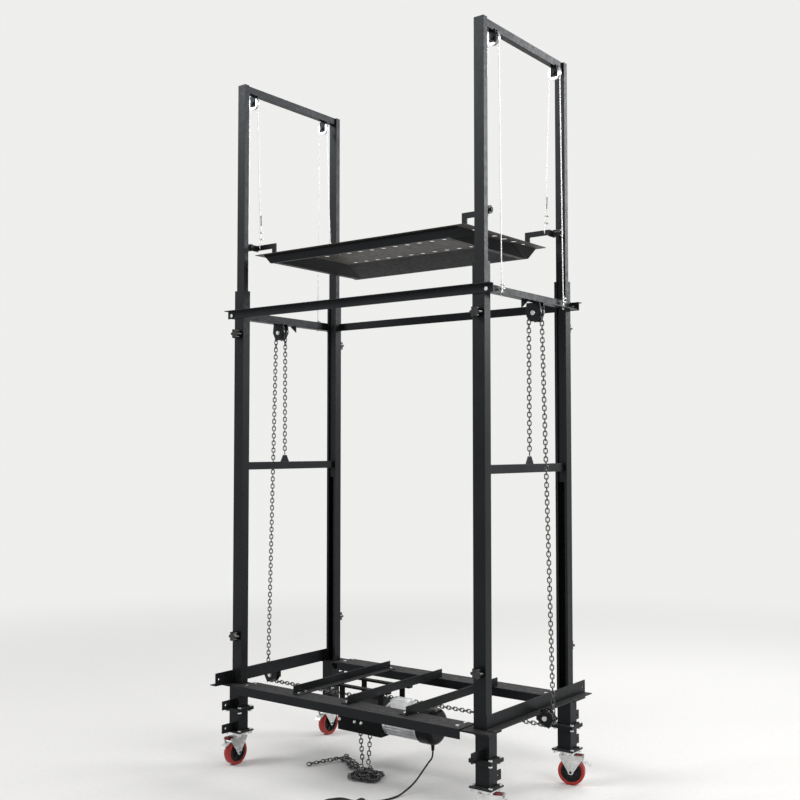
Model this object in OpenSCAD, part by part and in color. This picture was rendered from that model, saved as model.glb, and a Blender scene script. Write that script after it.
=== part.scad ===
// Electric platform hoist on casters: slotted side frames, telescopic masts, a base hoist that
// lifts the masts by chain, and ropes over the mast tops that lift the platform as far again.
// Millimetres, +Z up, origin on the floor under the middle of the base.
// The machine is the same after half a turn about Z, so the left side is the right side turned.

/* [Columns] */
// Spacing of the column centres along the length
frame_l = 1430; // [1400:5:1600]
// Spacing of the column centres across the depth
frame_w = 706; // [700:2:800]
// Column size along the length
column_x = 61; // [58:1:70]
// Column size across the depth
column_y = 46; // [44:1:56]
// Column length
column_l = 1952; // [1900:1:2200]
// Column wall
column_wall = 3; // [2:0.5:4]
// Slot in the inner face of a column
column_slot = 36; // [34:1:44]

/* [Rails] */
// Height of the front and back top rails
top_rail_h = 40; // [34:1:50]
// Outward leg of the top rails
top_rail_w = 30; // [20:1:45]
// Thickness of the rail angles
rail_t = 4; // [3:0.5:6]
// Reach of the top rails past the column centres
top_rail_reach = 75; // [72:1:90]
// Drop of the top rails below the column tops
top_rail_drop = 99; // [80:1:140]
// Height of the side rails
side_rail_h = 40; // [34:1:50]
// Outward leg of the side and end rails
side_rail_w = 40; // [34:1:44]
// Height of the base end rails
end_rail_h = 62; // [50:1:80]
// Reach of an end rail past the column face at one end
end_rail_reach = 111; // [90:1:140]

/* [Base] */
// Width of a base channel
channel_w = 120; // [110:1:130]
// Height of a base channel
channel_h = 42; // [36:1:50]
// Thickness of a base channel
channel_t = 4; // [3:0.5:6]
// Offset of a channel outward from the column centres
channel_out = 17; // [10:1:20]
// Distance from a column centre to the channel end
channel_setback = 65; // [60:1:75]
// Leg size of the cross angles
cross_leg = 40; // [34:1:50]
// Place of the left cross angle
cross_left = -321; // [-340:1:-310]
// Place of the middle cross angle
cross_mid = -24; // [-30:1:0]
// Place of the right cross angle
cross_right = 307; // [240:1:330]

/* [Legs] */
// Leg tube size along the length
leg_x = 68; // [60:1:76]
// Leg tube size across the depth
leg_y = 60; // [52:1:64]
// Leg tube wall
leg_wall = 4; // [3:0.5:6]
// Leg tube length
leg_l = 223; // [200:1:260]
// Leg centre outward of the column centre
leg_out = 13; // [0:1:20]
// Leg centre inward of the column centre across the depth
leg_in = 5; // [0:1:8]
// Corner plate thickness
corner_t = 8; // [6:0.5:12]
// Foot plate thickness
foot_t = 6; // [5:0.5:10]
// Foot plate length
foot_x = 108; // [104:1:116]
// Foot plate depth
foot_y = 102; // [98:1:110]
// Bolted collar height above the foot plate
collar_up = 97; // [80:1:120]
// Bolted collar thickness
collar_t = 16; // [10:1:20]
// Ear length beyond the leg
ear_l = 85; // [60:1:95]
// Ear height
ear_h = 42; // [34:1:60]
// Ear thickness
ear_t = 6; // [5:0.5:10]
// Ear hole
ear_hole = 13; // [10:0.5:16]

/* [Masts] */
// Mast length
mast_l = 2000; // [1950:10:2100]
// Mast foot height above the column foot at rest
mast_up = 1004; // [1002:1:1040]
// Mast wall
mast_wall = 2.5; // [2:0.5:4]
// Play of a mast along the length
mast_play_x = 2.5; // [1.5:0.5:3.5]
// Play of a mast across the depth
mast_play_y = 5.5; // [5:0.5:6]
// Lower crossbar height
crossbar_h = 38; // [30:1:46]
// Lower crossbar height above the mast foot
crossbar_up = 50; // [40:1:70]
// Top crossbar height
topbar_h = 35; // [30:1:40]

/* [Chains] */
// Chain pitch
link_pitch = 19; // [18.5:0.5:21]
// Chain wire
link_wire = 5; // [4.5:0.25:5.25]
// Inner width of a link
link_gap = 11; // [10.5:0.25:11.5]
// Offset of each chain plane from the middle
chain_y = 40; // [38:1:44]
// Pitch radius of the chain wheels
chain_r = 33; // [32:1:36]
// Chain wheel flange radius
chain_flange_r = 39; // [36:0.5:40]
// Chain wheel flange thickness
chain_flange_t = 3; // [2:0.5:4]
// Chain wheel pin
chain_pin = 12; // [10:0.5:14]
// Cheek thickness
cheek_t = 5; // [4:0.5:6]
// Upper wheel centre below the side rail
upper_drop = 46; // [44:1:54]
// Lower wheel centre outward of the column centre
lower_out = 80; // [76:1:90]
// Lower wheel centre below the end rail
lower_drop = 21; // [18:1:26]

/* [Ropes] */
// Rope diameter
rope_d = 5; // [4:0.5:6]
// Rope plane from the middle
rope_y = 270; // [255:1:275]
// Sheave diameter
sheave_d = 64; // [60:1:70]
// Sheave width
sheave_w = 14; // [12:1:16]
// Sheave axle
sheave_pin = 10; // [8:0.5:12]
// Sheave centre below the mast top
sheave_drop = 70; // [70:1:80]
// Sheave centre outward of the column centre
sheave_out = 12.5; // [10:0.5:14]
// Sheave cheek thickness
sheave_cheek = 4; // [3:0.5:5]

/* [Platform] */
// Gap from the deck end to the column middle
deck_gap = 85; // [75:1:115]
// Deck width
deck_w = 700; // [660:2:710]
// Deck sheet
deck_t = 3; // [2:0.5:5]
// Deck underside above the column tops at rest
deck_up = 172; // [150:1:250]
// Round holes in the deck
hole_d = 30; // [20:1:34]
// Depth of the folded rims
rim_h = 45; // [36:1:50]
// Sheet of the folded rims
rim_t = 2.5; // [2:0.5:4]
// Rope bracket plate thickness
bracket_t = 8; // [6:0.5:10]
// Rope bracket bar height
bracket_bar = 25; // [20:1:30]
// Rope bracket height above the deck
bracket_h = 65; // [60:1:80]
// Guide roller diameter
roller_d = 36; // [30:1:40]
// Guide roller length
roller_l = 40; // [30:1:44]
// Guide roller pin
roller_pin = 10; // [8:0.5:12]

/* [Casters] */
// Overall caster height
caster_h = 159; // [158:1:175]
// Caster wheel diameter
wheel_d = 125; // [115:1:126]
// Tyre width
tyre_w = 38; // [30:1:42]
// Hub width
hub_w = 44; // [40:1:46]
// Caster axle
caster_pin = 10; // [8:0.5:12]
// Kingpin
king_d = 12; // [10:0.5:16]
// Swivel trail
caster_trail = 20; // [15:1:26]
// Caster plate length
caster_plate_x = 105; // [102:1:108]
// Caster plate depth
caster_plate_y = 92; // [88:1:100]
// Caster plate thickness
caster_plate_t = 6; // [5:0.5:8]
// Fork sheet
fork_t = 4; // [3:0.5:5]

/* [Hoist] */
// Left end of the hoist case
case_x0 = -292; // [-300:1:-285]
// Case length
case_l = 270; // [265:1:280]
// Case width
case_w = 200; // [190:1:220]
// Case height
case_h = 141; // [130:1:145]
// Case wall
case_wall = 6; // [4:0.5:8]
// Motor radius over the fins
motor_r = 78; // [70:1:80]
// Motor length
motor_l = 200; // [180:1:220]
// Fan cover radius
fan_r = 85; // [80:1:87]
// Fan cover length
fan_l = 80; // [70:1:90]
// Hanger bar width
hanger_w = 30; // [24:1:40]
// Hanger bar thickness
hanger_t = 10; // [8:0.5:12]

/* [Fasteners] */
// Frame bolt diameter
bolt_d = 10; // [8:0.5:10]
// Bolt head across corners
bolt_hex = 18.5; // [17:0.5:18.5]
// Bolt head height
bolt_head = 6.5; // [5:0.5:8]
// Nut height
bolt_nut = 8; // [6:0.5:9]
// Clamp knob diameter
knob_d = 50; // [40:1:60]
// Clamp knob height
knob_h = 24; // [18:1:30]
// Clamp screw
knob_screw = 10; // [8:0.5:12]
// Upper knob below the column top
knob_drop = 218; // [200:1:260]
// Lower knob above the column foot
knob_up = 234; // [200:1:300]

/* [Cord] */
// Power cord diameter
cord_d = 8; // [7:0.5:8]

/* [Hidden] */
$fn = 48;

// Shared clearances
overrun = 1;
pin_fit = 0.1;
run_gap = 0.5;
seat_gap = 0.3;
hole_fit = 0.4;

// Levels from the floor up
foot_z = caster_h;
leg_z = foot_z + foot_t;
corner_z = leg_z + leg_l;
column_z = corner_z + corner_t;
web_z = column_z + channel_t;
column_top = column_z + column_l;

// Column places and faces
col_x = frame_l / 2;
col_y = frame_w / 2;
face_x = col_x + column_x / 2;
face_y = col_y + column_y / 2;
inner_y = col_y - column_y / 2;
right = 1;
left = -1;
front = -1;
back = 1;

// Rails
top_rail_z = column_top - top_rail_drop - top_rail_h;
side_rail_lift = 2;
side_rail_z = top_rail_z + side_rail_lift;
end_rail_z = column_z;
rail_bolt_x = face_x + rail_t + bolt_hex / 2 + run_gap;
rail_bolt_z = side_rail_z + rail_t + bolt_hex / 2 + run_gap;
lug_share = 0.11;
lug_h = 34;

// Base
channel_y = col_y + channel_out;
channel_x = col_x - channel_setback;
channel_lip_gap = 4;
corner_in = 115;
corner_out = 70;
corner_w = channel_w - 2 * channel_t - 2 * channel_lip_gap;
corner_bolt_in = 95;
channel_bolt_y = 30;
cross_front_over = 20;
cross_back_short = 20;
cross_front_y = -channel_y - cross_front_over;
cross_back_y = channel_y - cross_back_short;
cross_bolt_in = 18;
cross_bolt_step = 44;
cross_front_bolts = [cross_front_y + cross_bolt_in, cross_front_y + cross_bolt_in + cross_bolt_step];
cross_back_bolts = [cross_back_y - cross_bolt_in];
gusset_x = 62;
gusset_z = 38;
leg_cx = col_x + leg_out;
leg_cy = col_y - leg_in;
foot_bolt_x = 44;
foot_bolt_y = 36;
collar_z = leg_z + collar_up;

// Masts
mast_x = column_x - 2 * column_wall - 2 * mast_play_x;
mast_y = column_y - 2 * column_wall - 2 * mast_play_y;
mast_z = column_z + mast_up;
mast_top = mast_z + mast_l;
slot_play = 3;
crossbar_x = column_slot - 2 * slot_play;
crossbar_z = mast_z + crossbar_up;
mast_inner_y = col_y - mast_y / 2;
bar_wall = 3;
weld_depth = bar_wall / 2;

// Chain wheels
chain_half = link_gap / 2 + link_wire;
chain_core_r = chain_r - chain_half - run_gap;
wheel_half = chain_half + run_gap + chain_flange_t;
cheek_y = wheel_half + run_gap;
upper_x = col_x + chain_r;
upper_z = side_rail_z - upper_drop;
lower_x = col_x + lower_out;
lower_z = end_rail_z - lower_drop;
cheek_over = 6;
upper_cheek_tip = 14;
lower_cheek_h = 62;
lower_cheek_in = 42;
lower_cheek_out = 45;

// Chain route: up the inside of the upper wheel, over it, down to the lower wheel, round it,
// in along the base, over a drive wheel and down to the floor
link_seat = 2 * (link_gap / 2 - sqrt(pow(link_gap / 2, 2) - pow(link_wire / 2, 2))) + seat_gap;
link_straight = link_pitch + link_seat - link_gap;
link_half = link_pitch / 2 + link_seat / 2 + link_wire;
slant = atan2(lower_x - upper_x, upper_z - lower_z);
span_down = norm([lower_x - upper_x, upper_z - lower_z]);
arc_upper = chain_r * (180 - slant) * PI / 180;
arc_lower = chain_r * (90 + slant) * PI / 180;
arc_drive = chain_r * 90 * PI / 180;
drive_z = lower_z;
left_drive_in = 52;
right_drive_in = 132;
left_drive_x = case_x0 + left_drive_in;
right_drive_x = case_x0 + right_drive_in;
heap_top = 24;
function run_in(wheel_x) = lower_x - wheel_x;
function before_drop(wheel_x) = arc_upper + span_down + arc_lower + run_in(wheel_x) + arc_drive;
function last_link(wheel_x) =
  floor((before_drop(wheel_x) + drive_z - 2 * chain_r - heap_top - link_half) / link_pitch);
function drop_end(wheel_x) = drive_z - 2 * chain_r - last_link(wheel_x) * link_pitch
  + before_drop(wheel_x) - link_half;
function polar(c, r, a) = [c[0] + r * cos(a), c[1] + r * sin(a)];
// Place [x, z] and heading at a distance along the route
function route_upper(s) = let (a = 180 - s / chain_r * 180 / PI)
  [polar([upper_x, upper_z], chain_r, a), a - 90];
function route_down(s) = let (p = polar([upper_x, upper_z], chain_r, slant))
  [polar(p, s, slant - 90), slant - 90];
function route_lower(s) = let (a = slant - s / chain_r * 180 / PI)
  [polar([lower_x, lower_z], chain_r, a), a - 90];
function route_in(s) = [[lower_x - s, lower_z - chain_r], 180];
function route_drive(s, wheel_x) = let (a = 90 + s / chain_r * 180 / PI)
  [polar([wheel_x, drive_z - 2 * chain_r], chain_r, a), a + 90];
function route_drop(s, wheel_x) = [[wheel_x - chain_r, drive_z - 2 * chain_r - s], 270];
function route(s, wheel_x) =
  s < arc_upper ? route_upper(s) :
  s < arc_upper + span_down ? route_down(s - arc_upper) :
  s < arc_upper + span_down + arc_lower ? route_lower(s - arc_upper - span_down) :
  let (t = s - arc_upper - span_down - arc_lower)
  t < run_in(wheel_x) ? route_in(t) :
  t < run_in(wheel_x) + arc_drive ? route_drive(t - run_in(wheel_x), wheel_x) :
  route_drop(t - run_in(wheel_x) - arc_drive, wheel_x);
anchor_z = crossbar_z + crossbar_h;
anchor_least = 22;
anchor_links = floor((upper_z - anchor_z - anchor_least - link_half) / link_pitch);
anchor_top = upper_z - anchor_links * link_pitch - link_half - seat_gap;
anchor_w = 60;
anchor_t = 8;

// Ropes
rope_r = rope_d / 2;
groove_r = rope_r + seat_gap;
rope_break = 0.4;
groove_mouth = 5;
groove_depth = 2;
sheave_r = sheave_d / 2 - rope_d / 2 - groove_depth;
sheave_x = col_x + sheave_out;
sheave_z = mast_top - sheave_drop;
sheave_cheek_y = sheave_w / 2 + run_gap;
sheave_cheek_low = 18;
sheave_cheek_half = 16;
rope_eye_in = 43;
rope_foot_out = 50;

// Platform
deck_z = column_top + deck_up;
deck_top = deck_z + deck_t;
deck_l = frame_l - 2 * deck_gap;
rim_in_top = 130;
rim_in_bot = 322;
rim_out = 335;
rim_end_top = 45;
rim_end_bot = 90;
rim_set_in_top = 210;
rim_set_in_bot = 130;
rim_set_out_bot = 100;
rim_set_out_top = 70;
cross_rim_in_top = deck_l / 2 - rim_set_in_top;
cross_rim_in_bot = deck_l / 2 - rim_set_in_bot;
cross_rim_out_bot = deck_l / 2 - rim_set_out_bot;
cross_rim_out_top = deck_l / 2 - rim_set_out_top;
hole_rows = 11;
hole_end_rows = 6;
hole_span_share = 6 / 7;
hole_pitch = 2 * cross_rim_in_top * hole_span_share / (hole_rows - 1);
hole_end_pitch = 84;
hole_set_y = 18;
hole_set_x = 44;
hole_row_y = rim_in_top - hole_set_y;
hole_row_x = deck_l / 2 - hole_set_x;
bracket_in = 152;
bracket_x = col_x - bracket_in;
bracket_stem = 25;
bracket_tab = 6;
bracket_tab_x = col_x - 19;
roller_gap = 2;
roller_y = inner_y - roller_gap - roller_d / 2;
roller_z = deck_top + bracket_h - bracket_bar / 2;
roller_x0 = bracket_tab_x + run_gap;

// Casters
wheel_r = wheel_d / 2;
raceway_h = 15;
crown_top = caster_h - caster_plate_t - raceway_h;
crown_t = 8;
raceway_d = 56;
fork_gap = 2;
fork_in = hub_w / 2 + fork_gap;
fork_back = 34;
fork_front = 74;
fork_foot_r = 13;
pedal_x = 62;
pedal_z = 118;
pedal_pin = 6;
pedal_eye = 11;
pedal_w = 36;
pedal_l = 45;
pedal_t = 4;
pedal_lip = 14;
pedal_slope = 20;
axle_head = 16;
axle_head_t = 5;
headings = [270, 270, 17, 17];
sides = [[left, front], [left, back], [right, front], [right, back]];

// Hoist
case_drop = 216;
case_z0 = web_z - case_drop;
case_top = case_z0 + case_h;
motor_y = -20;
motor_z = case_z0 + motor_r;
motor_core_share = 0.82;
fin_count = 28;
fin_t = 3;
fan_x = case_x0 + case_l + motor_l;
fan_dome = 24;
motor_end = 14;
box_l = 100;
box_w = 62;
box_h = 46;
box_y = -62;
relief_in = 44;
relief_d = 22;
relief_tip = 14;
relief_l = 28;
hanger_y = 85;
rib_w = 40;
case_chain_window = 32;
lug_x = 30;

// Knobs
boss_d = 24;
boss_h = 8;
knob_core_share = 0.72;
knob_lobe_share = 0.28;
knob_tip_gap = 1;

// Cord route, floor to coil
cord_r = cord_d / 2;
cord_points = [[222, -20, 149], [222, -20, 139], [222, -23, 124], [222, -32, 112], [222, -52, 102],
  [222, -76, 88], [222, -100, 73], [222, -125, 58], [222, -150, 44], [221, -175, 32], [220, -200, 23],
  [219, -225, 16], [218, -250, 10], [217, -275, 6], [215, -300, 5], [211, -325, 5], [205, -349, 5],
  [196, -372, 5], [184, -394, 5], [169, -413, 5], [151, -429, 5], [130, -441, 5], [108, -449, 5],
  [84, -453, 5], [60, -452, 5], [37, -456, 5], [20, -470, 5], [11, -490, 5], [10, -512, 5], [10, -530, 5]];
coil_c = [80, -546, 5];
coil_out = 70;
coil_step = 10;
coil_turns = 4;
coil_layer = 9;
coil_tail_l = 56;
plug_l = 42;
plug_w = 34;
plug_h = 26;
plug_pin = 4.8;
plug_pin_l = 19;
plug_pin_pitch = 19;

// Heap of slack chain: centre, radius and height of each mound
heap = [[[-75, -140], 88, 34], [[-165, -65], 78, 28], [[-275, -60], 65, 22], [[-375, -80], 58, 20]];
function ball(m) = (m[1] * m[1] + m[2] * m[2]) / (2 * m[2]);
peak_r = 50;
peaks = [[[left_drive_x + chain_r, -chain_y], peak_r, drop_end(-left_drive_x) - seat_gap],
  [[right_drive_x - chain_r, chain_y], peak_r, drop_end(right_drive_x) - seat_gap]];

module turned(side) { rotate([0, 0, side > 0 ? 0 : 180]) children(); }

module box(p, s) { translate(p) cube(s); }

// A prism whose outline is drawn in X and Z, from y0 on for a depth
module xz(y0, depth) { translate([0, y0 + depth, 0]) rotate([90, 0, 0]) linear_extrude(depth) children(); }

// A prism whose outline is drawn in Y and Z, from x0 on for a length
module yz(x0, length) {
  translate([x0, 0, 0]) rotate([90, 0, 90]) linear_extrude(length) children();
}

module pin_y(x, y0, z, d, length) { translate([x, y0, z]) rotate([-90, 0, 0]) cylinder(d = d, h = length); }

module pin_x(x0, y, z, d, length) { translate([x0, y, z]) rotate([0, 90, 0]) cylinder(d = d, h = length); }

module hex_y(x, y0, z, length) {
  translate([x, y0, z]) rotate([-90, 0, 0]) cylinder(d = bolt_hex, h = length, $fn = 6);
}

// Frame columns and welded rails

module column_profile() {
  difference() {
    square([column_x, column_y], center = true);
    square([column_x - 2 * column_wall, column_y - 2 * column_wall], center = true);
    translate([-column_slot / 2, 0]) square([column_slot, column_y]);
  }
}

module knob_hole(ys, z) {
  translate([col_x, ys * (face_y + boss_h + overrun), z]) rotate([ys * 90, 0, 0])
    cylinder(d = knob_screw + pin_fit, h = boss_h + column_wall + 2 * overrun);
}

module column(ys) {
  difference() {
    union() {
      translate([col_x, ys * col_y, column_z]) rotate([0, 0, ys > 0 ? 180 : 0])
        linear_extrude(column_l) column_profile();
      for (z = [column_z + knob_up, column_top - knob_drop])
        translate([col_x, ys * face_y, z]) rotate([ys * -90, 0, 0]) cylinder(d = boss_d, h = boss_h);
    }
    for (z = [column_z + knob_up, column_top - knob_drop]) knob_hole(ys, z);
  }
}

module upper_cheek_outline() {
  half = chain_flange_r + cheek_over;
  polygon([[upper_x - half + chain_r / 3, side_rail_z], [upper_x + half - chain_r / 3, side_rail_z],
    [upper_x + chain_flange_r, upper_z], [upper_x + upper_cheek_tip, upper_z - chain_flange_r],
    [upper_x - upper_cheek_tip, upper_z - chain_flange_r], [upper_x - chain_flange_r, upper_z]]);
}

module lower_cheek_outline() {
  polygon([[lower_x - lower_cheek_in, end_rail_z + rail_t], [lower_x + chain_flange_r / 2, end_rail_z + rail_t],
    [lower_x + lower_cheek_out, end_rail_z - lower_drop], [lower_x + chain_flange_r / 2, end_rail_z - lower_cheek_h],
    [lower_x - lower_cheek_in, end_rail_z - lower_cheek_h / 2]]);
}

module cheeks() { for (y = [chain_y - cheek_y - cheek_t, chain_y + cheek_y]) xz(y, cheek_t) children(); }

module chain_axle(x, z) {
  reach = cheek_y + cheek_t;
  pin_y(x, chain_y - reach - bolt_head, z, chain_pin, 2 * reach + 2 * bolt_head);
  hex_y(x, chain_y - reach - bolt_head, z, bolt_head);
  hex_y(x, chain_y + reach, z, bolt_head);
}

module side_rail() {
  difference() {
    union() {
      box([face_x, -face_y, side_rail_z], [rail_t, 2 * face_y, side_rail_h]);
      box([face_x, -face_y, side_rail_z], [side_rail_w, 2 * face_y, rail_t]);
    }
  }
  lug_y = -lug_share * frame_w;
  xz(lug_y, rail_t) polygon([[face_x, side_rail_z], [face_x + side_rail_w, side_rail_z],
    [face_x, side_rail_z - lug_h]]);
}

module end_rail() {
  length = 2 * face_y + end_rail_reach;
  difference() {
    union() {
      box([face_x, -face_y, end_rail_z], [rail_t, length, end_rail_h]);
      box([face_x, -face_y, end_rail_z], [side_rail_w, length, rail_t]);
    }
    box([lower_x - chain_flange_r - run_gap, chain_y - cheek_y, end_rail_z - overrun],
      [side_rail_w + chain_flange_r, 2 * cheek_y, rail_t + 2 * overrun]);
    pin_x(face_x - overrun, face_y + end_rail_reach - end_rail_h / 3, end_rail_z + end_rail_h / 2,
      bolt_d + hole_fit, rail_t + 2 * overrun);
  }
}

module side_frame(side) {
  color([0.07, 0.07, 0.075]) turned(side) {
    column(front);
    column(back);
    side_rail();
    end_rail();
    cheeks() upper_cheek_outline();
    chain_axle(upper_x, upper_z);
    cheeks() lower_cheek_outline();
    chain_axle(lower_x, lower_z);
  }
}
module side_frame_left() { side_frame(left); }
module side_frame_right() { side_frame(right); }

// Base and top rails

module cross_holes(rows) {
  for (x = [cross_left, cross_mid, cross_right], y = rows)
    translate([x + cross_leg / 2, y, column_z - overrun])
      cylinder(d = bolt_d + hole_fit, h = channel_t + rail_t + 2 * overrun);
}

module corner_holes() {
  for (side = [left, right], dy = [-channel_bolt_y, channel_bolt_y])
    translate([side * (col_x - corner_bolt_in), channel_y + dy, corner_z - overrun])
      cylinder(d = bolt_d + hole_fit, h = corner_t + channel_t + 2 * overrun);
}

module base_channel_shape() {
  difference() {
    box([-channel_x, channel_y - channel_w / 2, web_z - channel_h], [2 * channel_x, channel_w, channel_h]);
    box([-channel_x - overrun, channel_y - channel_w / 2 + channel_t, web_z - channel_h - overrun],
      [2 * channel_x + 2 * overrun, channel_w - 2 * channel_t, channel_h - channel_t + overrun]);
    corner_holes();
  }
}
module base_channel_front() {
  color([0.08, 0.08, 0.085]) difference() {
    mirror([0, 1, 0]) base_channel_shape();
    cross_holes(cross_front_bolts);
  }
}
module base_channel_back() {
  color([0.08, 0.08, 0.085]) difference() {
    base_channel_shape();
    cross_holes(cross_back_bolts);
  }
}

module cross_angles() {
  color([0.07, 0.07, 0.075]) difference() {
    for (x = [cross_left, cross_mid, cross_right]) {
      upright = x == cross_left ? x : x + cross_leg - rail_t;
      box([x, cross_front_y, web_z], [cross_leg, cross_back_y - cross_front_y, rail_t]);
      box([upright, cross_front_y, web_z], [rail_t, cross_back_y - cross_front_y, cross_leg]);
    }
    cross_holes(concat(cross_front_bolts, cross_back_bolts));
  }
}

module top_rail() {
  color([0.07, 0.07, 0.075]) difference() {
    union() {
      box([-col_x - top_rail_reach, -face_y - rail_t, top_rail_z],
        [2 * (col_x + top_rail_reach), rail_t, top_rail_h]);
      box([-col_x - top_rail_reach, -face_y - top_rail_w, top_rail_z + top_rail_h - rail_t],
        [2 * (col_x + top_rail_reach), top_rail_w, rail_t]);
    }
    for (side = [left, right])
      pin_y(side * rail_bolt_x, -face_y - rail_t - overrun, rail_bolt_z, bolt_d + hole_fit,
        rail_t + 2 * overrun);
  }
}
module top_rail_front() { top_rail(); }
module top_rail_back() { turned(left) top_rail(); }

// Legs

module plate(cx, cy, sx, sy, z, t) { box([cx - sx / 2, cy - sy / 2, z], [sx, sy, t]); }

module foot_bolts(z, depth) {
  for (dx = [-foot_bolt_x, foot_bolt_x], dy = [-foot_bolt_y, foot_bolt_y])
    translate([dx, dy, z - overrun]) cylinder(d = bolt_d + hole_fit, h = depth + 2 * overrun);
}

module ear(ys, z) {
  difference() {
    translate([-ear_t / 2, ys > 0 ? leg_y / 2 - leg_wall : -leg_y / 2 + leg_wall - ear_l, z])
      cube([ear_t, ear_l, ear_h]);
    translate([-ear_t / 2 - overrun, ys * (leg_y / 2 + ear_l - ear_h / 2 - leg_wall), z + ear_h / 2])
      rotate([0, 90, 0]) cylinder(d = ear_hole, h = ear_t + 2 * overrun);
  }
}

module leg(ys, upper, lower) {
  difference() {
    union() {
      box([col_x - corner_in, ys * channel_y - corner_w / 2, corner_z],
        [corner_in + corner_out, corner_w, corner_t]);
      translate([leg_cx, ys * leg_cy, 0]) {
        difference() {
          union() {
            plate(0, 0, leg_x, leg_y, leg_z, leg_l);
            plate(0, 0, foot_x, foot_y, foot_z, foot_t);
            plate(0, 0, foot_x, foot_y, collar_z, collar_t);
          }
          plate(0, 0, leg_x - 2 * leg_wall, leg_y - 2 * leg_wall, leg_z, leg_l);
          foot_bolts(foot_z, foot_t);
          foot_bolts(collar_z, collar_t);
        }
        ear(upper, collar_z + collar_t);
        ear(lower, leg_z);
        xz(-ear_t / 2, ear_t) polygon([[-leg_x / 2, corner_z], [-leg_x / 2 - gusset_x, corner_z],
          [-leg_x / 2, corner_z - gusset_z]]);
      }
    }
    for (dy = [-channel_bolt_y, channel_bolt_y])
      translate([col_x - corner_bolt_in, ys * channel_y + dy, corner_z - overrun])
        cylinder(d = bolt_d + hole_fit, h = corner_t + 2 * overrun);
  }
}

module legs(side) {
  color([0.07, 0.07, 0.075]) turned(side) {
    leg(front, front, back);
    leg(back, back, back);
  }
}
module legs_left() { legs(left); }
module legs_right() { legs(right); }

// Bolts with heads and nuts

module bolt(grip) {
  translate([0, 0, -bolt_nut - grip]) cylinder(d = bolt_d, h = grip + bolt_nut + bolt_head);
  cylinder(d = bolt_hex, h = bolt_head, $fn = 6);
  translate([0, 0, -bolt_nut - grip]) cylinder(d = bolt_hex, h = bolt_nut, $fn = 6);
}

module frame_bolts() {
  color([0.72, 0.72, 0.7]) {
    for (x = [cross_left, cross_mid, cross_right], y = concat(cross_front_bolts, cross_back_bolts))
      translate([x + cross_leg / 2, y, web_z + rail_t]) bolt(rail_t + channel_t);
    for (ys = [front, back], dy = [-channel_bolt_y, channel_bolt_y], side = [left, right])
      translate([side * (col_x - corner_bolt_in), ys * channel_y + dy, web_z]) bolt(channel_t + corner_t);
    for (side = [left, right], ys = [front, back]) {
      translate([side * rail_bolt_x, ys * (face_y + rail_t), rail_bolt_z])
        rotate([ys * -90, 0, 0]) bolt(rail_t);
      for (dx = [-foot_bolt_x, foot_bolt_x], dy = [-foot_bolt_y, foot_bolt_y])
        translate([side * leg_cx + dx, ys * leg_cy + dy, 0]) {
          translate([0, 0, leg_z]) bolt(foot_t + caster_plate_t);
          translate([0, 0, collar_z + collar_t]) bolt(collar_t);
        }
    }
  }
}

// Casters

module at_caster(i) {
  translate([sides[i][0] * leg_cx, sides[i][1] * leg_cy, 0]) rotate([0, 0, headings[i]]) children();
}

module caster_top_plates() {
  color([0.75, 0.75, 0.72]) for (s = sides) translate([s[0] * leg_cx, s[1] * leg_cy, 0]) {
    plate_z = caster_h - caster_plate_t;
    difference() {
      plate(0, 0, caster_plate_x, caster_plate_y, plate_z, caster_plate_t);
      foot_bolts(plate_z, caster_plate_t);
    }
    translate([0, 0, crown_top + seat_gap]) cylinder(d = raceway_d, h = plate_z - crown_top - seat_gap);
    translate([0, 0, crown_top - crown_t - run_gap]) cylinder(d = king_d, h = crown_t + fork_t);
  }
}

module fork_outline() {
  polygon([[-fork_back, crown_top], [fork_front, crown_top], [fork_front, crown_top - 2 * crown_t],
    [caster_trail + fork_foot_r, wheel_r], [caster_trail - fork_foot_r, wheel_r],
    [-fork_back, crown_top - crown_t]]);
  translate([caster_trail, wheel_r]) circle(r = fork_foot_r);
}

module caster_fork(i) {
  color([0.75, 0.75, 0.72]) at_caster(i) {
    difference() {
      union() {
        for (y = [-fork_in - fork_t, fork_in]) xz(y, fork_t) fork_outline();
        box([-fork_back, -fork_in - fork_t, crown_top - crown_t],
          [fork_back + raceway_d / 2, 2 * (fork_in + fork_t), crown_t]);
      }
      translate([0, 0, crown_top - crown_t - overrun]) cylinder(d = king_d + pin_fit, h = crown_t + 2 * overrun);
      pin_y(pedal_x, -fork_in - fork_t - overrun, pedal_z, pedal_pin + pin_fit,
        2 * (fork_in + fork_t + overrun));
    }
    pin_y(caster_trail, -fork_in - fork_t - axle_head_t, wheel_r, caster_pin,
      2 * (fork_in + fork_t + axle_head_t));
    for (y = [-fork_in - fork_t - axle_head_t, fork_in + fork_t])
      translate([caster_trail, y, wheel_r]) rotate([-90, 0, 0]) cylinder(d = axle_head, h = axle_head_t, $fn = 6);
  }
}

module caster_wheel(i) {
  color([0.72, 0.08, 0.06]) at_caster(i) translate([caster_trail, 0, wheel_r]) rotate([90, 0, 0])
    rotate_extrude($fn = 96) difference() {
      union() {
        translate([0, -tyre_w / 2]) square([wheel_r - tyre_w / 8, tyre_w]);
        translate([0, -tyre_w * 3 / 8]) square([wheel_r, tyre_w * 3 / 4]);
        for (ys = [-1, 1]) translate([wheel_r - tyre_w / 8, ys * tyre_w * 3 / 8]) circle(r = tyre_w / 8);
        translate([0, -hub_w / 2]) square([wheel_r / 4, hub_w]);
      }
      translate([0, -hub_w]) square([caster_pin / 2 + pin_fit / 2, 2 * hub_w]);
      translate([-wheel_r, -hub_w]) square([wheel_r, 2 * hub_w]);
    }
}

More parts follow.
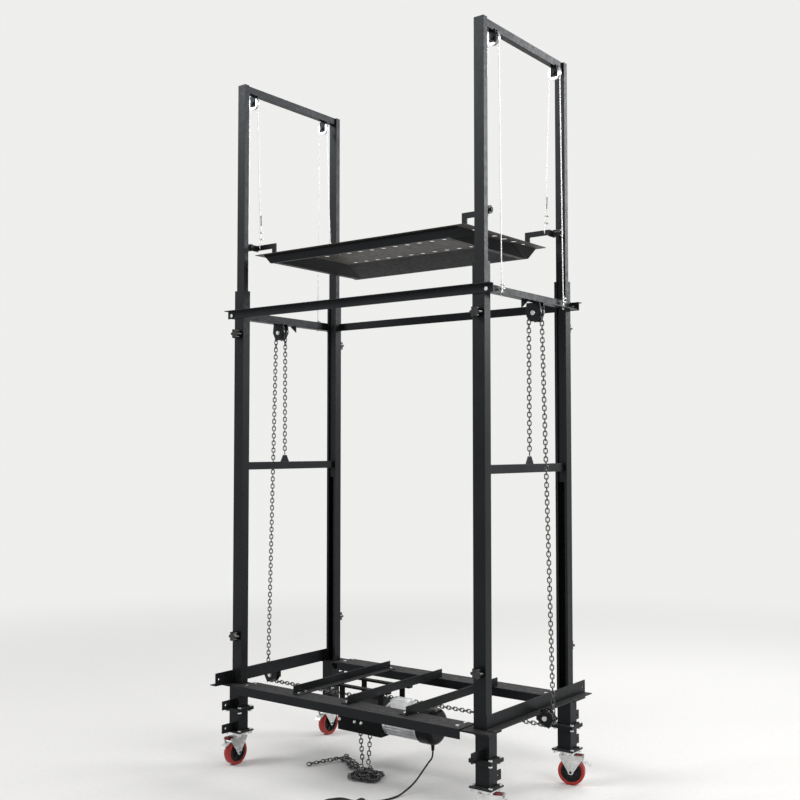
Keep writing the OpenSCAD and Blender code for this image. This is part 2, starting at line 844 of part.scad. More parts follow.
// Pressed strip with its tread end bent down
module pedal_outline() {
  bend = 2 * pedal_slope;
  tip = [pedal_l + pedal_lip * cos(bend), pedal_t / 2 - pedal_lip * sin(bend)];
  polygon([[0, -pedal_t / 2], [0, pedal_t / 2], [pedal_l, pedal_t / 2], tip,
    tip - pedal_t * [sin(bend), cos(bend)], [pedal_l - pedal_t * tan(pedal_slope), -pedal_t / 2]]);
}

module brake_pedal(i) {
  color([0.7, 0.7, 0.68]) at_caster(i) {
    translate([pedal_x, 0, pedal_z]) rotate([0, pedal_slope, 0]) {
      xz(-pedal_w / 2, pedal_w) pedal_outline();
      rotate([0, 180, 0]) {
        pin_y(0, -fork_in - fork_t, 0, pedal_pin, 2 * (fork_in + fork_t));
        pin_y(0, -(pedal_w + pedal_t) / 2, 0, pedal_eye, pedal_w + pedal_t);
      }
    }
  }
}
module caster_fork_left_front() { caster_fork(0); }
module caster_fork_left_back() { caster_fork(1); }
module caster_fork_right_front() { caster_fork(2); }
module caster_fork_right_back() { caster_fork(3); }
module caster_wheel_left_front() { caster_wheel(0); }
module caster_wheel_left_back() { caster_wheel(1); }
module caster_wheel_right_front() { caster_wheel(2); }
module caster_wheel_right_back() { caster_wheel(3); }
module brake_pedal_left_front() { brake_pedal(0); }
module brake_pedal_left_back() { brake_pedal(1); }
module brake_pedal_right_front() { brake_pedal(2); }
module brake_pedal_right_back() { brake_pedal(3); }

// Hoist

module drive_window(x, y) {
  reach = chain_r + chain_half + run_gap;
  box([x - reach, y - cheek_y, case_top - case_wall - overrun],
    [2 * reach, 2 * cheek_y, case_wall + 2 * overrun]);
}

module drop_window(x, y) {
  box([x - case_chain_window / 2, y - case_chain_window / 2, case_z0 - overrun],
    [case_chain_window, case_chain_window, case_wall + 2 * overrun]);
}

module drive_bearing(x, y) {
  for (y0 = [y - cheek_y - cheek_t, y + cheek_y])
    box([x - rib_w / 2, y0, case_z0], [rib_w, cheek_t, case_h]);
  pin_y(x, y - cheek_y - cheek_t, drive_z - 2 * chain_r, chain_pin, 2 * (cheek_y + cheek_t));
}

module hoist_case() {
  color([0.06, 0.06, 0.065]) {
    difference() {
      box([case_x0, -case_w / 2, case_z0], [case_l, case_w, case_h]);
      box([case_x0 + case_wall, -case_w / 2 + case_wall, case_z0 + case_wall],
        [case_l - 2 * case_wall, case_w - 2 * case_wall, case_h - 2 * case_wall]);
      drive_window(left_drive_x, -chain_y);
      drive_window(right_drive_x, chain_y);
      drop_window(left_drive_x + chain_r, -chain_y);
      drop_window(right_drive_x - chain_r, chain_y);
    }
    drive_bearing(left_drive_x, -chain_y);
    drive_bearing(right_drive_x, chain_y);
    for (ys = [front, back]) {
      box([cross_left, ys * hanger_y - hanger_w / 2, web_z - hanger_t],
        [cross_mid - cross_left + cross_leg, hanger_w, hanger_t]);
      for (x = [case_x0, case_x0 + case_l - lug_x])
        box([x, ys * hanger_y - case_wall / 2, case_top - case_wall],
          [lug_x, case_wall, web_z - hanger_t - case_top + case_wall]);
    }
  }
}

module fin_profile() {
  circle(r = motor_r * motor_core_share);
  for (i = [0 : fin_count - 1]) rotate(i * 360 / fin_count)
    translate([0, -fin_t / 2]) square([motor_r, fin_t]);
}

module hoist_motor() {
  x0 = case_x0 + case_l;
  color([0.72, 0.73, 0.74]) {
    translate([x0, motor_y, motor_z]) rotate([0, 90, 0]) {
      cylinder(r = motor_r, h = motor_end);
      linear_extrude(motor_l) fin_profile();
      translate([0, 0, motor_l - motor_end]) cylinder(r = motor_r, h = motor_end);
    }
    box([x0 + motor_l / 2 - box_l / 2, box_y - box_w / 2, motor_z + motor_r * motor_core_share / 2],
      [box_l, box_w, motor_r * (1 - motor_core_share / 2) + box_h - motor_r * motor_core_share / 4]);
  }
}

module hoist_fan_cover() {
  color([0.03, 0.03, 0.035]) {
    translate([fan_x, motor_y, motor_z]) rotate([0, 90, 0]) rotate_extrude() {
      square([fan_r, fan_l - fan_dome]);
      translate([0, fan_l - fan_dome]) square([fan_r - fan_dome, fan_dome]);
      intersection() {
        translate([fan_r - fan_dome, fan_l - fan_dome]) circle(r = fan_dome);
        translate([fan_r - fan_dome, 0]) square([fan_dome, fan_l]);
      }
    }
    translate([fan_x + relief_in, motor_y, motor_z - fan_r - relief_l])
      cylinder(d1 = relief_tip, d2 = relief_d, h = relief_l + fan_dome);
  }
}

// Chain wheels

module chain_wheel(x, z) {
  color([0.55, 0.55, 0.55]) translate([x, chain_y, z]) rotate([90, 0, 0]) difference() {
    union() {
      cylinder(r = chain_core_r, h = 2 * wheel_half, center = true);
      for (s = [-1, 1]) translate([0, 0, s * (wheel_half - chain_flange_t / 2)])
        cylinder(r = chain_flange_r, h = chain_flange_t, center = true);
    }
    cylinder(d = chain_pin + pin_fit, h = 2 * wheel_half + 2 * overrun, center = true);
  }
}
module chain_wheel_upper_left() { turned(left) chain_wheel(upper_x, upper_z); }
module chain_wheel_upper_right() { turned(right) chain_wheel(upper_x, upper_z); }
module chain_wheel_lower_left() { turned(left) chain_wheel(lower_x, lower_z); }
module chain_wheel_lower_right() { turned(right) chain_wheel(lower_x, lower_z); }
module drive_wheel_left() { turned(left) chain_wheel(-left_drive_x, drive_z - 2 * chain_r); }
module drive_wheel_right() { turned(right) chain_wheel(right_drive_x, drive_z - 2 * chain_r); }

// Chains

module stadium(w, l) {
  square([w, l], center = true);
  for (s = [-1, 1]) translate([0, s * l / 2]) circle(d = w);
}

module link() {
  rotate([90, 0, 0]) linear_extrude(link_wire, center = true) difference() {
    stadium(link_gap + 2 * link_wire, link_straight);
    stadium(link_gap, link_straight);
  }
}

module link_at(p, a, turn) {
  translate([p[0], chain_y, p[1]]) rotate([0, 90 - a, 0]) rotate([0, 0, turn * 90]) link();
}

module lift_chain(wheel_x) {
  for (i = [0 : last_link(wheel_x)])
    let (q = route(i * link_pitch, wheel_x)) link_at(q[0], q[1], i % 2);
}

module lift_chains() {
  color([0.4, 0.4, 0.4]) {
    turned(right) lift_chain(right_drive_x);
    turned(left) lift_chain(-left_drive_x);
  }
}

module anchor_chains() {
  color([0.4, 0.4, 0.4]) for (side = [left, right]) turned(side)
    for (i = [1 : anchor_links]) link_at([col_x, upper_z - i * link_pitch], 90, i % 2);
}

module chain_heap() {
  color([0.4, 0.4, 0.4]) for (m = concat(heap, peaks))
    translate([m[0][0], m[0][1], 0]) intersection() {
      translate([0, 0, m[2] - ball(m)]) sphere(r = ball(m));
      cylinder(r = 2 * m[1], h = m[2] + overrun);
    }
}

// Masts

module mast_frame(side) {
  color([0.07, 0.07, 0.075]) turned(side) {
    for (ys = [front, back]) translate([col_x, ys * col_y, mast_z]) difference() {
      box([-mast_x / 2, -mast_y / 2, 0], [mast_x, mast_y, mast_l]);
      box([-mast_x / 2 + mast_wall, -mast_y / 2 + mast_wall, -overrun],
        [mast_x - 2 * mast_wall, mast_y - 2 * mast_wall, mast_l - mast_wall + overrun]);
    }
    for (b = [[crossbar_z, crossbar_h], [mast_top - topbar_h, topbar_h]]) difference() {
      box([col_x - crossbar_x / 2, -mast_inner_y, b[0]], [crossbar_x, 2 * mast_inner_y, b[1]]);
      box([col_x - crossbar_x / 2 + bar_wall, -mast_inner_y + bar_wall, b[0] + bar_wall],
        [crossbar_x - 2 * bar_wall, 2 * mast_inner_y - 2 * bar_wall, b[1] - 2 * bar_wall]);
    }
    yz(col_x - anchor_t / 2, anchor_t) polygon([[chain_y - anchor_w / 2, anchor_z - weld_depth],
      [chain_y + anchor_w / 2, anchor_z - weld_depth],
      [chain_y + chain_half, anchor_top], [chain_y - chain_half, anchor_top]]);
    for (ys = [front, back]) {
      for (s = [-1, 1])
        box([sheave_x - sheave_cheek_half,
          ys * rope_y + s * (sheave_cheek_y + sheave_cheek / 2) - sheave_cheek / 2, sheave_z - sheave_cheek_low],
          [2 * sheave_cheek_half, sheave_cheek, sheave_drop - topbar_h + sheave_cheek_low + weld_depth]);
      pin_y(sheave_x, ys * rope_y - sheave_cheek_y - sheave_cheek - bolt_head, sheave_z, sheave_pin,
        2 * (sheave_cheek_y + sheave_cheek + bolt_head));
      for (y = [-sheave_cheek_y - sheave_cheek - bolt_head, sheave_cheek_y + sheave_cheek])
        hex_y(sheave_x, ys * rope_y + y, sheave_z, bolt_head);
    }
  }
}
module mast_frame_left() { mast_frame(left); }
module mast_frame_right() { mast_frame(right); }

// Sheaves and ropes

module rope_sheave(ys) {
  color([0.78, 0.78, 0.76]) translate([sheave_x, ys * rope_y, sheave_z]) rotate([90, 0, 0])
    rotate_extrude($fn = 96) difference() {
      translate([sheave_pin / 2 + pin_fit / 2, -sheave_w / 2])
        square([sheave_d / 2 - sheave_pin / 2 - pin_fit / 2, sheave_w]);
      translate([sheave_r, 0]) circle(r = groove_r);
      polygon([[sheave_r, -groove_r], [sheave_d / 2 + overrun, -groove_mouth],
        [sheave_d / 2 + overrun, groove_mouth], [sheave_r, groove_r]]);
    }
}
module rope_sheave_left_front() { turned(left) rope_sheave(back); }
module rope_sheave_left_back() { turned(left) rope_sheave(front); }
module rope_sheave_right_front() { turned(right) rope_sheave(front); }
module rope_sheave_right_back() { turned(right) rope_sheave(back); }

// Straight rope between two points of one rope plane
module strand(y, a, b) {
  d = b - a;
  translate([a[0], y, a[1]]) rotate([0, 90 - atan2(d[1], d[0]), 0]) cylinder(d = rope_d, h = norm(d));
}

module anchor_ropes() {
  color([0.62, 0.62, 0.6]) for (side = [left, right], ys = [front, back]) turned(side) {
    translate([sheave_x, ys * rope_y, sheave_z]) rotate([90, 0, 0])
      rotate_extrude(angle = 180) translate([sheave_r, 0]) circle(d = rope_d);
    strand(ys * rope_y, [sheave_x + sheave_r, sheave_z],
      [col_x + rope_foot_out, side_rail_z + rail_t + rope_break]);
  }
}

module platform_ropes() {
  color([0.62, 0.62, 0.6]) for (side = [left, right], ys = [front, back]) turned(side)
    strand(ys * rope_y, [sheave_x - sheave_r, sheave_z - rope_break],
      [col_x - rope_eye_in, deck_top + bracket_h]);
}

// Platform

module long_rim_outline(off) {
  run = (rim_in_bot - rim_in_top) / rim_h;
  slope_off = off * sqrt(1 + run * run);
  polygon([[rim_in_top + slope_off, 0], [rim_in_bot - off * run + slope_off, off - rim_h],
    [rim_out - off, off - rim_h], [rim_out - off, 0]]);
}

module cross_rim_outline(off) {
  run_in = (cross_rim_in_bot - cross_rim_in_top) / rim_h;
  run_out = (cross_rim_out_top - cross_rim_out_bot) / rim_h;
  in_off = off * sqrt(1 + run_in * run_in);
  out_off = off * sqrt(1 + run_out * run_out);
  polygon([[cross_rim_in_top + in_off, 0], [cross_rim_in_bot - off * run_in + in_off, off - rim_h],
    [cross_rim_out_bot + off * run_out - out_off, off - rim_h], [cross_rim_out_top - out_off, 0]]);
}

module long_rim_body(off) {
  top = deck_l / 2 - rim_end_top - off;
  bot = deck_l / 2 - rim_end_bot - off;
  intersection() {
    yz(-deck_l / 2, deck_l) long_rim_outline(off);
    xz(0, deck_w) polygon([[-top, 0], [-bot, -rim_h], [bot, -rim_h], [top, 0]]);
  }
}

module deck_holes() {
  for (ys = [-1, 1], i = [0 : hole_rows - 1])
    translate([(i - (hole_rows - 1) / 2) * hole_pitch, ys * hole_row_y, 0]) deck_hole();
  for (xs = [-1, 1], i = [0 : hole_end_rows - 1])
    translate([xs * hole_row_x, (i - (hole_end_rows - 1) / 2) * hole_end_pitch, 0]) deck_hole();
}

module deck_hole() {
  translate([0, 0, -overrun]) cylinder(d = hole_d, h = deck_t + 2 * overrun);
}

module stem_notches() {
  for (xs = [0, 1], ys = [0, 1]) mirror([xs, 0, 0]) mirror([0, ys, 0])
    box([bracket_x, rope_y - bracket_t / 2, -overrun], [bracket_stem, bracket_t, deck_t + 2 * overrun]);
}

module platform_tray() {
  color([0.1, 0.1, 0.1]) translate([0, 0, deck_z]) {
    difference() {
      box([-deck_l / 2, -deck_w / 2, 0], [deck_l, deck_w, deck_t]);
      deck_holes();
      stem_notches();
    }
    for (ys = [0, 1]) mirror([0, ys, 0]) difference() {
      long_rim_body(0);
      long_rim_body(rim_t);
    }
    for (xs = [0, 1]) mirror([xs, 0, 0]) xz(-rim_in_bot, 2 * rim_in_bot) difference() {
      cross_rim_outline(0);
      cross_rim_outline(rim_t);
    }
  }
}

module platform_brackets() {
  color([0.07, 0.07, 0.075]) for (xs = [0, 1], ys = [0, 1]) mirror([xs, 0, 0]) mirror([0, ys, 0]) {
    y0 = rope_y - bracket_t / 2;
    box([bracket_x, y0, deck_z], [bracket_stem, bracket_t, deck_t + bracket_h]);
    box([bracket_x, y0, deck_top + bracket_h - bracket_bar],
      [bracket_tab_x - bracket_x, bracket_t, bracket_bar]);
    box([bracket_tab_x - bracket_tab, y0, roller_z - roller_d / 2],
      [bracket_tab, roller_y - y0 + roller_pin, roller_d / 2 + bracket_bar / 2]);
    pin_x(bracket_tab_x - bracket_tab, roller_y, roller_z, roller_pin,
      bracket_tab + roller_l + 2 * run_gap + bolt_head);
    translate([roller_x0 + roller_l + run_gap, roller_y, roller_z]) rotate([0, 90, 0])
      cylinder(d = bolt_hex, h = bolt_head, $fn = 6);
  }
}

module guide_roller(xs, ys) {
  color([0.05, 0.05, 0.05]) mirror([xs, 0, 0]) mirror([0, ys, 0]) difference() {
    pin_x(roller_x0, roller_y, roller_z, roller_d, roller_l);
    pin_x(roller_x0 - overrun, roller_y, roller_z, roller_pin + pin_fit, roller_l + 2 * overrun);
  }
}
module guide_roller_left_front() { guide_roller(1, 1); }
module guide_roller_left_back() { guide_roller(1, 0); }
module guide_roller_right_front() { guide_roller(0, 1); }
module guide_roller_right_back() { guide_roller(0, 0); }

// Clamp knobs

module clamp_knob(side, ys, z) {
  lobe = knob_d * knob_lobe_share;
  tip = column_wall + mast_play_y - knob_tip_gap;
  color([0.04, 0.04, 0.04]) turned(side) translate([col_x, side * ys * face_y, z])
    rotate([side * ys * -90, 0, 0]) {
      translate([0, 0, -tip]) cylinder(d = knob_screw, h = tip + boss_h + run_gap + knob_h / 2);
      translate([0, 0, boss_h + run_gap]) linear_extrude(knob_h) {
        circle(d = knob_d * knob_core_share);
        for (i = [0 : 5]) rotate(i * 60) translate([knob_d / 2 - lobe / 2, 0]) circle(d = lobe);
      }
    }
}
knob_low = column_z + knob_up;
knob_high = column_top - knob_drop;
module clamp_knob_left_front_upper() { clamp_knob(left, front, knob_high); }
module clamp_knob_left_back_upper() { clamp_knob(left, back, knob_high); }
module clamp_knob_right_front_upper() { clamp_knob(right, front, knob_high); }
module clamp_knob_right_back_upper() { clamp_knob(right, back, knob_high); }
module clamp_knob_left_front_lower() { clamp_knob(left, front, knob_low); }
module clamp_knob_left_back_lower() { clamp_knob(left, back, knob_low); }
module clamp_knob_right_front_lower() { clamp_knob(right, front, knob_low); }
module clamp_knob_right_back_lower() { clamp_knob(right, back, knob_low); }

// Power cord, its coil and plug

function unit(v) = v / norm(v);
function heading_at(p, i) = unit(p[min(i + 1, len(p) - 1)] - p[max(i - 1, 0)]);
cord_lean = [0.4, 0.3, 1];
// Ring of points round a route point, square to the route there
function ring(p, i, r, n) = let (t = heading_at(p, i), u = unit(cross(t, cord_lean)), v = cross(u, t))
  [for (k = [0 : n - 1]) p[i] + r * cos(k * 360 / n) * u + r * sin(k * 360 / n) * v];

module tube(p, r, n) {
  last = len(p) - 1;
  polyhedron(
    points = [for (i = [0 : last]) each ring(p, i, r, n)],
    faces = concat(
      [for (k = [1 : n - 2]) [0, k + 1, k]],
      [for (i = [0 : last - 1], k = [0 : n - 1]) [i * n + k, i * n + (k + 1) % n, (i + 1) * n + k]],
      [for (i = [0 : last - 1], k = [0 : n - 1])
        [i * n + (k + 1) % n, (i + 1) * n + (k + 1) % n, (i + 1) * n + k]],
      [for (k = [1 : n - 2]) [last * n, last * n + k, last * n + k + 1]]));
}

module power_cord() { color([0.03, 0.03, 0.03]) tube(cord_points, cord_r, 10); }

// Coil: spirals in, climbs a layer in half a turn, spirals out again
coil_half = 360 * coil_turns;
coil_end = 2 * coil_half + 180;
function coil_r(a) = coil_out - coil_step * (a < coil_half ? a : a < coil_half + 180 ? coil_half : coil_end - a) / 360;
function coil_z(a) = coil_layer * max(0, min(1, (a - coil_half) / 180));
function coil_point(a) = coil_c + [coil_r(a) * cos(180 + a), coil_r(a) * sin(180 + a), coil_z(a)];
coil_rings = 24;
coil_steps = coil_end * coil_rings / 360;
coil_lead = cord_points[len(cord_points) - 1];
coil_body = [for (i = [0 : coil_steps]) coil_point(i * 360 / coil_rings)];
coil_stop = coil_body[len(coil_body) - 1];
coil_tail = coil_stop + [0, coil_tail_l, 0];
coil_points = concat([coil_lead], coil_body, [for (y = [cord_d, coil_tail_l / 2]) coil_stop + [0, y, 0]], [coil_tail]);
module power_cord_coil() { color([0.03, 0.03, 0.03]) tube(coil_points, cord_r, 6); }
coil_near = min([for (i = [0 : len(coil_points) - 1], j = [i + 12 : 1 : len(coil_points) - 1])
  norm(coil_points[i] - coil_points[j])]) - cord_d;
echo(coil_gap = coil_near);

module power_plug() {
  p = coil_tail;
  color([0.03, 0.03, 0.03]) {
    box([p[0] - plug_w / 2, p[1], p[2] - plug_h / 2], [plug_w, plug_l, plug_h]);
    for (s = [-1, 1]) pin_y(p[0] + s * plug_pin_pitch / 2, p[1] + plug_l, p[2], plug_pin, plug_pin_l);
  }
}

side_frame_left();
side_frame_right();
base_channel_front();
base_channel_back();
cross_angles();
top_rail_front();
top_rail_back();
legs_left();
legs_right();
caster_top_plates();
frame_bolts();
hoist_case();
hoist_motor();
hoist_fan_cover();
lift_chains();
chain_heap();
power_cord();
power_cord_coil();
power_plug();
mast_frame_left();
mast_frame_right();
anchor_chains();
anchor_ropes();
platform_tray();
platform_brackets();
platform_ropes();
rope_sheave_left_front();
rope_sheave_left_back();
rope_sheave_right_front();
rope_sheave_right_back();
chain_wheel_upper_left();
chain_wheel_upper_right();
chain_wheel_lower_left();
chain_wheel_lower_right();
drive_wheel_left();
drive_wheel_right();
guide_roller_left_front();
guide_roller_left_back();
guide_roller_right_front();
guide_roller_right_back();
caster_fork_left_front();
caster_fork_left_back();
caster_fork_right_front();
caster_fork_right_back();
caster_wheel_left_front();
caster_wheel_left_back();
caster_wheel_right_front();
caster_wheel_right_back();
brake_pedal_left_front();
brake_pedal_left_back();
brake_pedal_right_front();
brake_pedal_right_back();
clamp_knob_left_front_upper();
clamp_knob_left_back_upper();
clamp_knob_right_front_upper();
clamp_knob_right_back_upper();
clamp_knob_left_front_lower();
clamp_knob_left_back_lower();
clamp_knob_right_front_lower();
clamp_knob_right_back_lower();
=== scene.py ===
import math

import bpy
import numpy as np
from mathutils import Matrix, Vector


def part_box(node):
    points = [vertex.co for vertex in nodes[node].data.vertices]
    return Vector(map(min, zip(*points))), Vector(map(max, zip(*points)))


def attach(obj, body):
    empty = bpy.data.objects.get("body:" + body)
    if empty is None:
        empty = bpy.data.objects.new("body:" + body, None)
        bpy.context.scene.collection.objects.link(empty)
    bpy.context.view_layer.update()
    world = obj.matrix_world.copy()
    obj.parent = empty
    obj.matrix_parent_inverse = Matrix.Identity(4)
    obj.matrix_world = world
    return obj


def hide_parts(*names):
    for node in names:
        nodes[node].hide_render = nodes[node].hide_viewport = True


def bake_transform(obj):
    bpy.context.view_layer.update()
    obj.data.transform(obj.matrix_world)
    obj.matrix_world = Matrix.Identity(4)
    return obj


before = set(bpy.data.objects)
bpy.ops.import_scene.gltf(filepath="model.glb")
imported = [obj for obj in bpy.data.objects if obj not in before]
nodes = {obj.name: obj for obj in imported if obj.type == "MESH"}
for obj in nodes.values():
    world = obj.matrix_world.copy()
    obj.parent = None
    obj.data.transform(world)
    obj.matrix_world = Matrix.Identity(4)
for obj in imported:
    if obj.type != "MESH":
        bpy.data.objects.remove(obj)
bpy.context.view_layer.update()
scene = bpy.context.scene
scene.view_settings.view_transform = "Standard"

# Viewpoint, floor and lamps: the place the photograph was taken from, a pale sheet floor that fades into
# the pale surroundings a few metres out, and four soft lamps with an even fill around them.
viewpoint = bpy.data.objects.new("viewpoint", bpy.data.cameras.new("viewpoint"))
scene.collection.objects.link(viewpoint)
viewpoint.data.lens = 47.86
viewpoint.data.sensor_width = 36.0
viewpoint.location = (3.150, -4.115, 1.5635)
viewpoint.rotation_euler = (math.radians(92.535), 0.0, math.radians(37.309))
scene.camera = viewpoint


def soft_lamp(name, place, aim, size, power):
    """A square lamp at a place, turned towards the point it lights."""
    lamp = bpy.data.objects.new(name, bpy.data.lights.new(name, "AREA"))
    lamp.data.size = size
    lamp.data.energy = power
    lamp.location = place
    toward = [a - b for a, b in zip(aim, place)]
    flat = math.hypot(toward[0], toward[1])
    lamp.rotation_euler = (math.atan2(flat, -toward[2]), 0.0, math.atan2(toward[0], -toward[1]) + math.pi)
    scene.collection.objects.link(lamp)


soft_lamp("lamp_left", place=(-4.0, -4.6, 6.4), aim=(0.0, 0.0, 1.5), size=3.0, power=330.0)
soft_lamp("lamp_right", place=(4.6, -1.0, 3.6), aim=(0.0, 0.0, 1.4), size=3.0, power=110.0)
soft_lamp("lamp_back", place=(-0.5, 4.6, 4.8), aim=(0.0, 0.0, 1.6), size=3.0, power=110.0)
soft_lamp("lamp_side", place=(3.5, 4.1, 4.1), aim=(0.7, 0.0, 2.3), size=2.6, power=170.0)


def layer(finish, kind, settings=None, **plugs):
    """One node of a finish: settings are its own properties, plugs its inputs by name or number, each a socket
    or a value."""
    made = finish.node_tree.nodes.new("ShaderNode" + kind)
    for key, value in (settings or {}).items():
        setattr(made, key, value)
    for key, value in plugs.items():
        numbered = key[0] == "n" and key[1:].isdigit()
        spot = made.inputs[int(key[1:]) if numbered else key.replace("_", " ")]
        if isinstance(value, bpy.types.NodeSocket):
            finish.node_tree.links.new(value, spot)
        else:
            spot.default_value = value
    return made


def start_finish(name, **sockets):
    """A new finish and its surface shader, with the even values set on the shader's own sockets."""
    finish = bpy.data.materials.new(name)
    finish.use_nodes = True
    shader = finish.node_tree.nodes["Principled BSDF"]
    for key, value in sockets.items():
        shader.inputs[key.replace("_", " ")].default_value = value
    return finish, shader


def feed(finish, socket, spot):
    """Joins one node's output to another's input."""
    finish.node_tree.links.new(socket, spot)


def place_of(finish):
    """Where a point lies on the piece, in the piece's own coordinates."""
    return layer(finish, "TexCoord").outputs["Object"]


def noise(finish, place, scale, detail, roughness=0.5):
    """A cloudy value between 0 and 1: noise of so many grains a metre, with finer layers of it on top."""
    made = layer(finish, "TexNoise", Vector=place, Scale=scale, Detail=detail, Roughness=roughness)
    return made.outputs["Fac"]


def worked(finish, operation, a, b):
    """Two values worked into one: multiplied, added, or the larger of them."""
    return layer(finish, "Math", {"operation": operation}, n0=a, n1=b).outputs["Value"]


def spread(finish, value, low, high, first=0.0, last=1.0, **settings):
    """A value between low and high carried over to first and last, and held there outside them."""
    made = layer(finish, "MapRange", settings, Value=value, From_Min=low, From_Max=high,
                 To_Min=first, To_Max=last)
    return made.outputs["Result"]


def tinted(finish, value, dark, light, ends=(0.0, 1.0)):
    """A colour that goes from dark to light as a value goes from one end to the other."""
    ramp = layer(finish, "ValToRGB", Fac=value)
    for stop, end, colour in zip(ramp.color_ramp.elements, ends, (dark, light)):
        stop.position = end
        stop.color = (*colour, 1)
    return ramp.outputs["Color"]


floor_half, fade_from, fade_to = 30, 1.6, 7.0
backdrop = (0.86, 0.86, 0.85, 1)
floor_mesh = bpy.data.meshes.new("floor")
floor_corners = [(x * floor_half, y * floor_half, 0) for x, y in ((-1, -1), (1, -1), (1, 1), (-1, 1))]
floor_mesh.from_pydata(floor_corners, [], [(0, 1, 2, 3)])
floor = bpy.data.objects.new("floor", floor_mesh)
scene.collection.objects.link(floor)
floor_finish, floor_shader = start_finish("pale_floor", Roughness=0.9)
floor_place = place_of(floor_finish)
floor_grain = noise(floor_finish, floor_place, scale=40.0, detail=6.0)
floor_tint = tinted(floor_finish, floor_grain, (0.70, 0.69, 0.67), (0.78, 0.77, 0.75))
feed(floor_finish, floor_tint, floor_shader.inputs["Base Color"])
floor_far = layer(floor_finish, "VectorMath", {"operation": "LENGTH"}, n0=floor_place).outputs["Value"]
floor_fade = spread(floor_finish, floor_far, fade_from, fade_to, interpolation_type="SMOOTHSTEP")
floor_glow = layer(floor_finish, "Emission", Color=backdrop, Strength=1.0).outputs["Emission"]
floor_mix = layer(floor_finish, "MixShader", n0=floor_fade, n1=floor_shader.outputs["BSDF"], n2=floor_glow)
floor_out = floor_finish.node_tree.nodes["Material Output"]
feed(floor_finish, floor_mix.outputs["Shader"], floor_out.inputs["Surface"])
floor_mesh.materials.append(floor_finish)

surroundings = bpy.data.worlds.new("surroundings")
surroundings.use_nodes = True
scene.world = surroundings
around = surroundings.node_tree.nodes["Background"]
around.inputs["Color"].default_value = (0.95, 0.97, 1.0, 1)
around.inputs["Strength"].default_value = 0.42
seen = layer(surroundings, "Background", Color=backdrop, Strength=1.0)
ray = layer(surroundings, "LightPath").outputs
ray_glossy = worked(surroundings, "MAXIMUM", ray["Is Camera Ray"], ray["Is Glossy Ray"])
ray_seen = worked(surroundings, "MAXIMUM", ray_glossy, ray["Is Transmission Ray"])
sky_mix = layer(surroundings, "MixShader", n0=ray_seen, n1=around.outputs["Background"],
                n2=seen.outputs["Background"])
feed(surroundings, sky_mix.outputs["Shader"], surroundings.node_tree.nodes["World Output"].inputs["Surface"])

# Power cord: a round black rubber lead that leaves the fan cover through a strain relief, drops to the floor,
# runs out to the front and is wound into a two-layer coil held by a strap, with a two-pin plug on its end.
cord_diameter = 0.008
cord_knots = np.array([
    [222, -20, 149], [222, -20, 139], [222, -23, 124], [222, -32, 112], [222, -52, 102], [222, -76, 88],
    [222, -100, 73], [222, -125, 58], [222, -150, 44], [221, -175, 32], [220, -200, 23], [219, -225, 16],
    [218, -250, 10], [217, -275, 6], [215, -300, 5], [211, -325, 5], [205, -349, 5], [196, -372, 5],
    [184, -394, 5], [169, -413, 5], [151, -429, 5], [130, -441, 5], [108, -449, 5], [84, -453, 5], [60, -452, 5],
    [37, -456, 5], [20, -470, 5], [11, -490, 5], [10, -512, 5], [10, -530, 5]]) / 1000
coil_middle = np.array([0.080, -0.546, 0.005])
coil_turns, coil_radius, coil_step, coil_lift = 4, 0.070, 0.010, 0.009
coil_half_turn, coil_points = 0.5, 36
tail_reach = np.array([0.0, 0.056, 0.0])
lean_from, lean_over = 0.20, 0.08


def smooth_through(knots, parts):
    """A curve through the knots: between two knots a cubic whose end slopes are half the step across each knot."""
    slope = np.gradient(knots, axis=0)
    t = np.linspace(0, 1, parts, endpoint=False)[:, None, None]
    a, b, m, n = knots[:-1], knots[1:], slope[:-1], slope[1:]
    curve = ((2 * t**3 - 3 * t**2 + 1) * a + (t**3 - 2 * t**2 + t) * m
             + (3 * t**2 - 2 * t**3) * b + (t**3 - t**2) * n)
    return np.vstack([curve.transpose(1, 0, 2).reshape(-1, 3), knots[-1:]])


def coil_path(turns, outer, step, lift):
    """A flat coil wound inwards for some turns, half a turn climbing a layer, then outwards on top: the radius
    falls by a step each turn and grows again, the angle runs on from the side where the lead comes in."""
    end = 2 * turns + coil_half_turn
    a = np.linspace(0, end, int(coil_points * end) + 1)
    radius = outer - step * np.where(a < turns + coil_half_turn, np.minimum(a, turns), end - a)
    climb = lift * np.clip((a - turns) / coil_half_turn, 0, 1)
    turn = math.pi + 2 * math.pi * a
    return np.stack([radius * np.cos(turn), radius * np.sin(turn), climb], -1)


def carry(path, profile, lean, closed=False):
    """A profile carried along a path: each ring is the path point plus the profile's two coordinates along two
    directions square to the path, the first of them square to the lean as well. Profile may change per ring."""
    if closed:
        along = np.roll(path, -1, 0) - np.roll(path, 1, 0)
    else:
        along = np.gradient(path, axis=0)
    along = along / np.linalg.norm(along, axis=1, keepdims=True)
    side = np.cross(along, np.broadcast_to(lean, path.shape))
    side = side / np.linalg.norm(side, axis=1, keepdims=True)
    over = np.cross(side, along)
    profile = np.broadcast_to(profile, (len(path),) + profile.shape[-2:])
    return path[:, None] + profile[..., :1] * side[:, None] + profile[..., 1:] * over[:, None]


def round_angles(count):
    """Angles evenly spaced round a whole turn."""
    return np.linspace(0, 2 * math.pi, count, endpoint=False)


def circle(radius, count):
    """Points of a circle: the radius times the cosine and sine of evenly spaced angles."""
    a = round_angles(count)
    return radius * np.stack([np.cos(a), np.sin(a)], -1)


